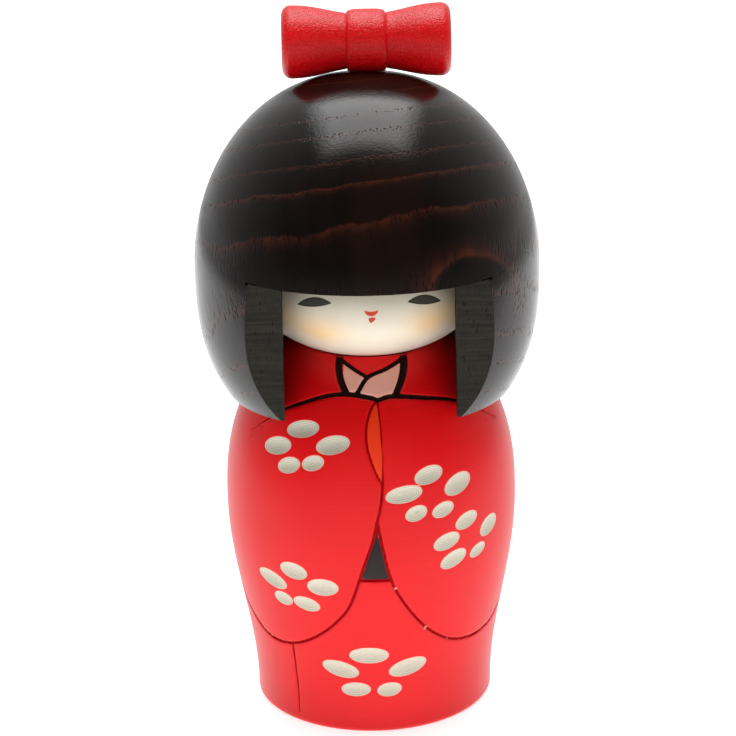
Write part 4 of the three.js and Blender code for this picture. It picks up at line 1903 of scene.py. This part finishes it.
@dataclass
class Studio:
    """White table under one large overhead lamp, in a dim room, seen from the front and a little above."""

    camera_distance: float = 600.0  # level distance from the doll's axis
    camera_height: float = 286.1
    camera_side_degrees: float = -0.62
    heading_degrees: float = 0.02
    pitch_degrees: float = 19.38
    roll_degrees: float = -1.095
    lens: float = 143.16
    lamp_height: float = 640.0
    lamp_x: tuple[float, float] = (-225.0, 240.0)
    lamp_y: tuple[float, float] = (-115.0, 418.0)
    # How far each layer of the lamp reaches past those sides, and its radiance.
    lamp_layers: tuple[tuple[float, float], ...] = ((-28.0, 4.0), (34.0, 1.7))
    fill_width: float = 900.0
    fill_height: float = 420.0
    fill_distance: float = 620.0
    fill_radiance: float = 1.06
    card_width: float = 1300.0
    card_depth: float = 800.0
    card_gap: float = 30.0  # from the doll's axis to the card
    card_radiance: float = 0.36
    table_half: float = 6000.0
    table: str = "#f2f2f2"
    # The paper is a painted reflection, seen only in the doll's gloss.
    paper_behind: float = 190.0
    paper_radius: float = 245.0
    paper_edge: float = 1.45  # where it has faded, as a share of the radius
    paper_narrowing: float = 0.7  # smaller is wider from side to side
    paper_radiance: float = 1.5  # in the doll's gloss
    table_far: tuple[float, float] = (0.2, 0.75)  # in the doll's gloss, before and behind it
    table_far_m: tuple[float, float] = (-0.3, 0.9)
    table_lift: float = 0.72  # to the camera, at the doll; it rises to 1
    table_lift_m: tuple[float, float] = (0.25, 1.0)
    # The table glows onto the doll as a lamp would, though it is no lamp: painted light.
    table_glow: float = 0.7  # on the doll, from the table round it; it falls to 0
    table_glow_m: tuple[float, float] = (0.3, 1.4)
    table_drop: float = 0.05
    room: tuple[float, float] = (0.03, 0.75)  # before the doll and behind it
    room_span: tuple[float, float] = (-0.8, 1.2)  # share of a direction that points backwards

    def camera(self) -> None:
        """Places the camera and makes it the scene's."""
        side = math.radians(self.camera_side_degrees)
        heading = side + math.radians(self.heading_degrees)
        pitch = math.radians(self.pitch_degrees)
        roll = math.radians(self.roll_degrees)
        place = self.camera_distance * Vector((math.sin(side), -math.cos(side), 0))
        place.z = self.camera_height
        ahead = math.cos(pitch) * Vector((-math.sin(heading), math.cos(heading), 0))
        ahead.z = -math.sin(pitch)
        level = Vector((math.cos(heading), math.sin(heading), 0))
        upright = level.cross(ahead)
        right = math.cos(roll) * level + math.sin(roll) * upright
        up = -math.sin(roll) * level + math.cos(roll) * upright
        data = bpy.data.cameras.new("camera")
        data.lens = self.lens
        data.sensor_width = 36.0
        data.clip_start, data.clip_end = 0.01, 100.0
        camera = bpy.data.objects.new("camera", data)
        matrix = Matrix((right, up, -ahead)).transposed().to_4x4()
        matrix.translation = place * MM
        camera.matrix_world = matrix
        bpy.context.scene.collection.objects.link(camera)
        bpy.context.scene.camera = camera

    def area_lamp(self, name: str, width: float, height: float, radiance: float) -> bpy.types.Object:
        """Makes an area lamp that the camera doesn't see, with power radiance * pi * area.

        Args:
            name: Name of the lamp.
            width: Its width, in millimetres.
            height: Its height, in millimetres.
            radiance: How bright its face is.

        Returns:
            The lamp, lying face down at the origin.
        """
        data = bpy.data.lights.new(name, "AREA")
        data.shape = "RECTANGLE"
        data.size = width * MM
        data.size_y = height * MM
        data.energy = radiance * math.pi * data.size * data.size_y
        lamp = bpy.data.objects.new(name, data)
        lamp.visible_camera = False
        bpy.context.scene.collection.objects.link(lamp)
        return lamp

    def lamps(self) -> None:
        """Hangs the overhead lamp, stands a soft fill in front and lays a bright card before the doll.

        The overhead lamp has two layers, one inside the other, so that its edges are softer than its
        middle. The fill and the card give no reflection.
        """
        width, depth = self.lamp_x[1] - self.lamp_x[0], self.lamp_y[1] - self.lamp_y[0]
        for overhang, radiance in self.lamp_layers:
            sides = width + 2 * overhang, depth + 2 * overhang
            over = self.area_lamp("overhead_lamp", *sides, radiance)
            over.location = (sum(self.lamp_x) / 2 * MM, sum(self.lamp_y) / 2 * MM, self.lamp_height * MM)
        fill = self.area_lamp("front_fill", self.fill_width, self.fill_height, self.fill_radiance)
        fill.location = (0, -self.fill_distance * MM, self.fill_height / 2 * MM)
        fill.rotation_euler = (math.radians(90), 0, 0)
        fill.visible_glossy = False
        card = self.area_lamp("bright_card", self.card_width, self.card_depth, self.card_radiance)
        card.location = (0, -(self.card_gap + self.card_depth / 2) * MM, MM)
        card.rotation_euler = (math.radians(180), 0, 0)
        card.visible_glossy = False

    def world(self) -> None:
        """Makes the world: white to the camera, and for all other rays dim, darkest in front of the doll."""
        world = bpy.data.worlds.new("room")
        world.use_nodes = True
        bpy.context.scene.world = world
        world.node_tree.nodes.clear()
        add = partial(add_node, world.node_tree)
        towards = add("TexCoord").outputs["Generated"]
        depth = add("SeparateXYZ", (towards,)).outputs["Y"]
        values = (depth, *self.room_span, *self.room)
        dim = add("MapRange", values, interpolation_type="SMOOTHSTEP")
        seen = add("LightPath").outputs["Is Camera Ray"]
        strength = add("Mix", (seen, dim, 1.0), data_type="FLOAT")
        light = add("Background", {"Color": WHITE, "Strength": strength})
        add("OutputWorld", {"Surface": light})

    def table_top(self) -> None:
        """Lays the white table.

        It looks white to the camera but keeps the doll's shadow. Near the doll it glows onto it, as a
        lamp would, though it is no lamp. In the doll's gloss it shows a painted reflection of white paper,
        bright near the doll and dimmer farther off.
        """
        material, add = start_material("white_paper_table")
        place = add("TexCoord").outputs["Object"]
        away = add("VectorMath", (place,), operation="LENGTH")
        shape, centre = (self.paper_narrowing, 1.0, 1.0), (0.0, self.paper_behind * MM, 0.0)
        drawn = add("VectorMath", (place, shape), operation="MULTIPLY")
        reach = add("VectorMath", (drawn, centre), operation="DISTANCE")
        behind = add("SeparateXYZ", (place,)).outputs["Y"]
        radius = self.paper_radius * MM
        lift, glow_nearby, far, near = (
            add("MapRange", values, interpolation_type="SMOOTHSTEP")
            for values in (
                (away, *self.table_lift_m, self.table_lift, 1.0),
                (away, *self.table_glow_m, self.table_glow, 0.0),
                (behind, *self.table_far_m, *self.table_far),
                (reach, radius, self.paper_edge * radius, 1.0, 0.0),
            )
        )
        paper = add("Mix", (near, far, self.paper_radiance), data_type="FLOAT")
        path = add("LightPath").outputs
        matt = add("BsdfDiffuse", {"Color": self.table})
        # Painted light: for diffuse rays the table glows onto the doll.
        glow = add("Math", (path["Is Diffuse Ray"], glow_nearby), operation="MULTIPLY")
        strength = add("Math", (path["Is Camera Ray"], lift, glow), operation="MULTIPLY_ADD")
        shine = add("Emission", {"Color": WHITE, "Strength": strength})
        seen = add("AddShader", (matt, shine))
        # Painted reflection: bright paper near the doll, seen only in its gloss.
        mirrored = add("Emission", {"Color": WHITE, "Strength": paper})
        both = add("MixShader", (path["Is Glossy Ray"], seen, mirrored))
        add("OutputMaterial", {"Surface": both})
        half, drop = self.table_half * MM, -self.table_drop * MM
        mesh = bpy.data.meshes.new("table")
        corners = [(-half, -half, drop), (half, -half, drop), (half, half, drop), (-half, half, drop)]
        mesh.from_pydata(corners, [], [(0, 1, 2, 3)])
        mesh.materials.append(material)
        table = bpy.data.objects.new("table", mesh)
        bpy.context.scene.collection.objects.link(table)

    def build(self) -> None:
        """Sets up the camera, the light and the table."""
        self.camera()
        self.lamps()
        self.world()
        self.table_top()
        bpy.context.scene.view_settings.view_transform = "Standard"


def report(piece: bpy.types.Object) -> None:
    """Logs a piece and how many faces it has."""
    LOG.info("%s: %d faces", piece.name, len(piece.data.polygons))


def main() -> None:
    """Builds the doll from its body up, then the studio."""
    logging.basicConfig(level=logging.INFO, format="%(name)s: %(message)s", stream=sys.stdout)
    report(KimonoBody().build())
    report(FaceBall().build())
    report(HairShell().build())
    report(HairBow().build())
    peg_wood = BarePegWood().material()
    for node, body in (("neck_peg", "body"), ("crown_peg", "head"), ("bow_peg", "head")):
        report(Dowel(node, body).build(peg_wood))
    Studio().build()


if __name__ == "__main__":
    main()
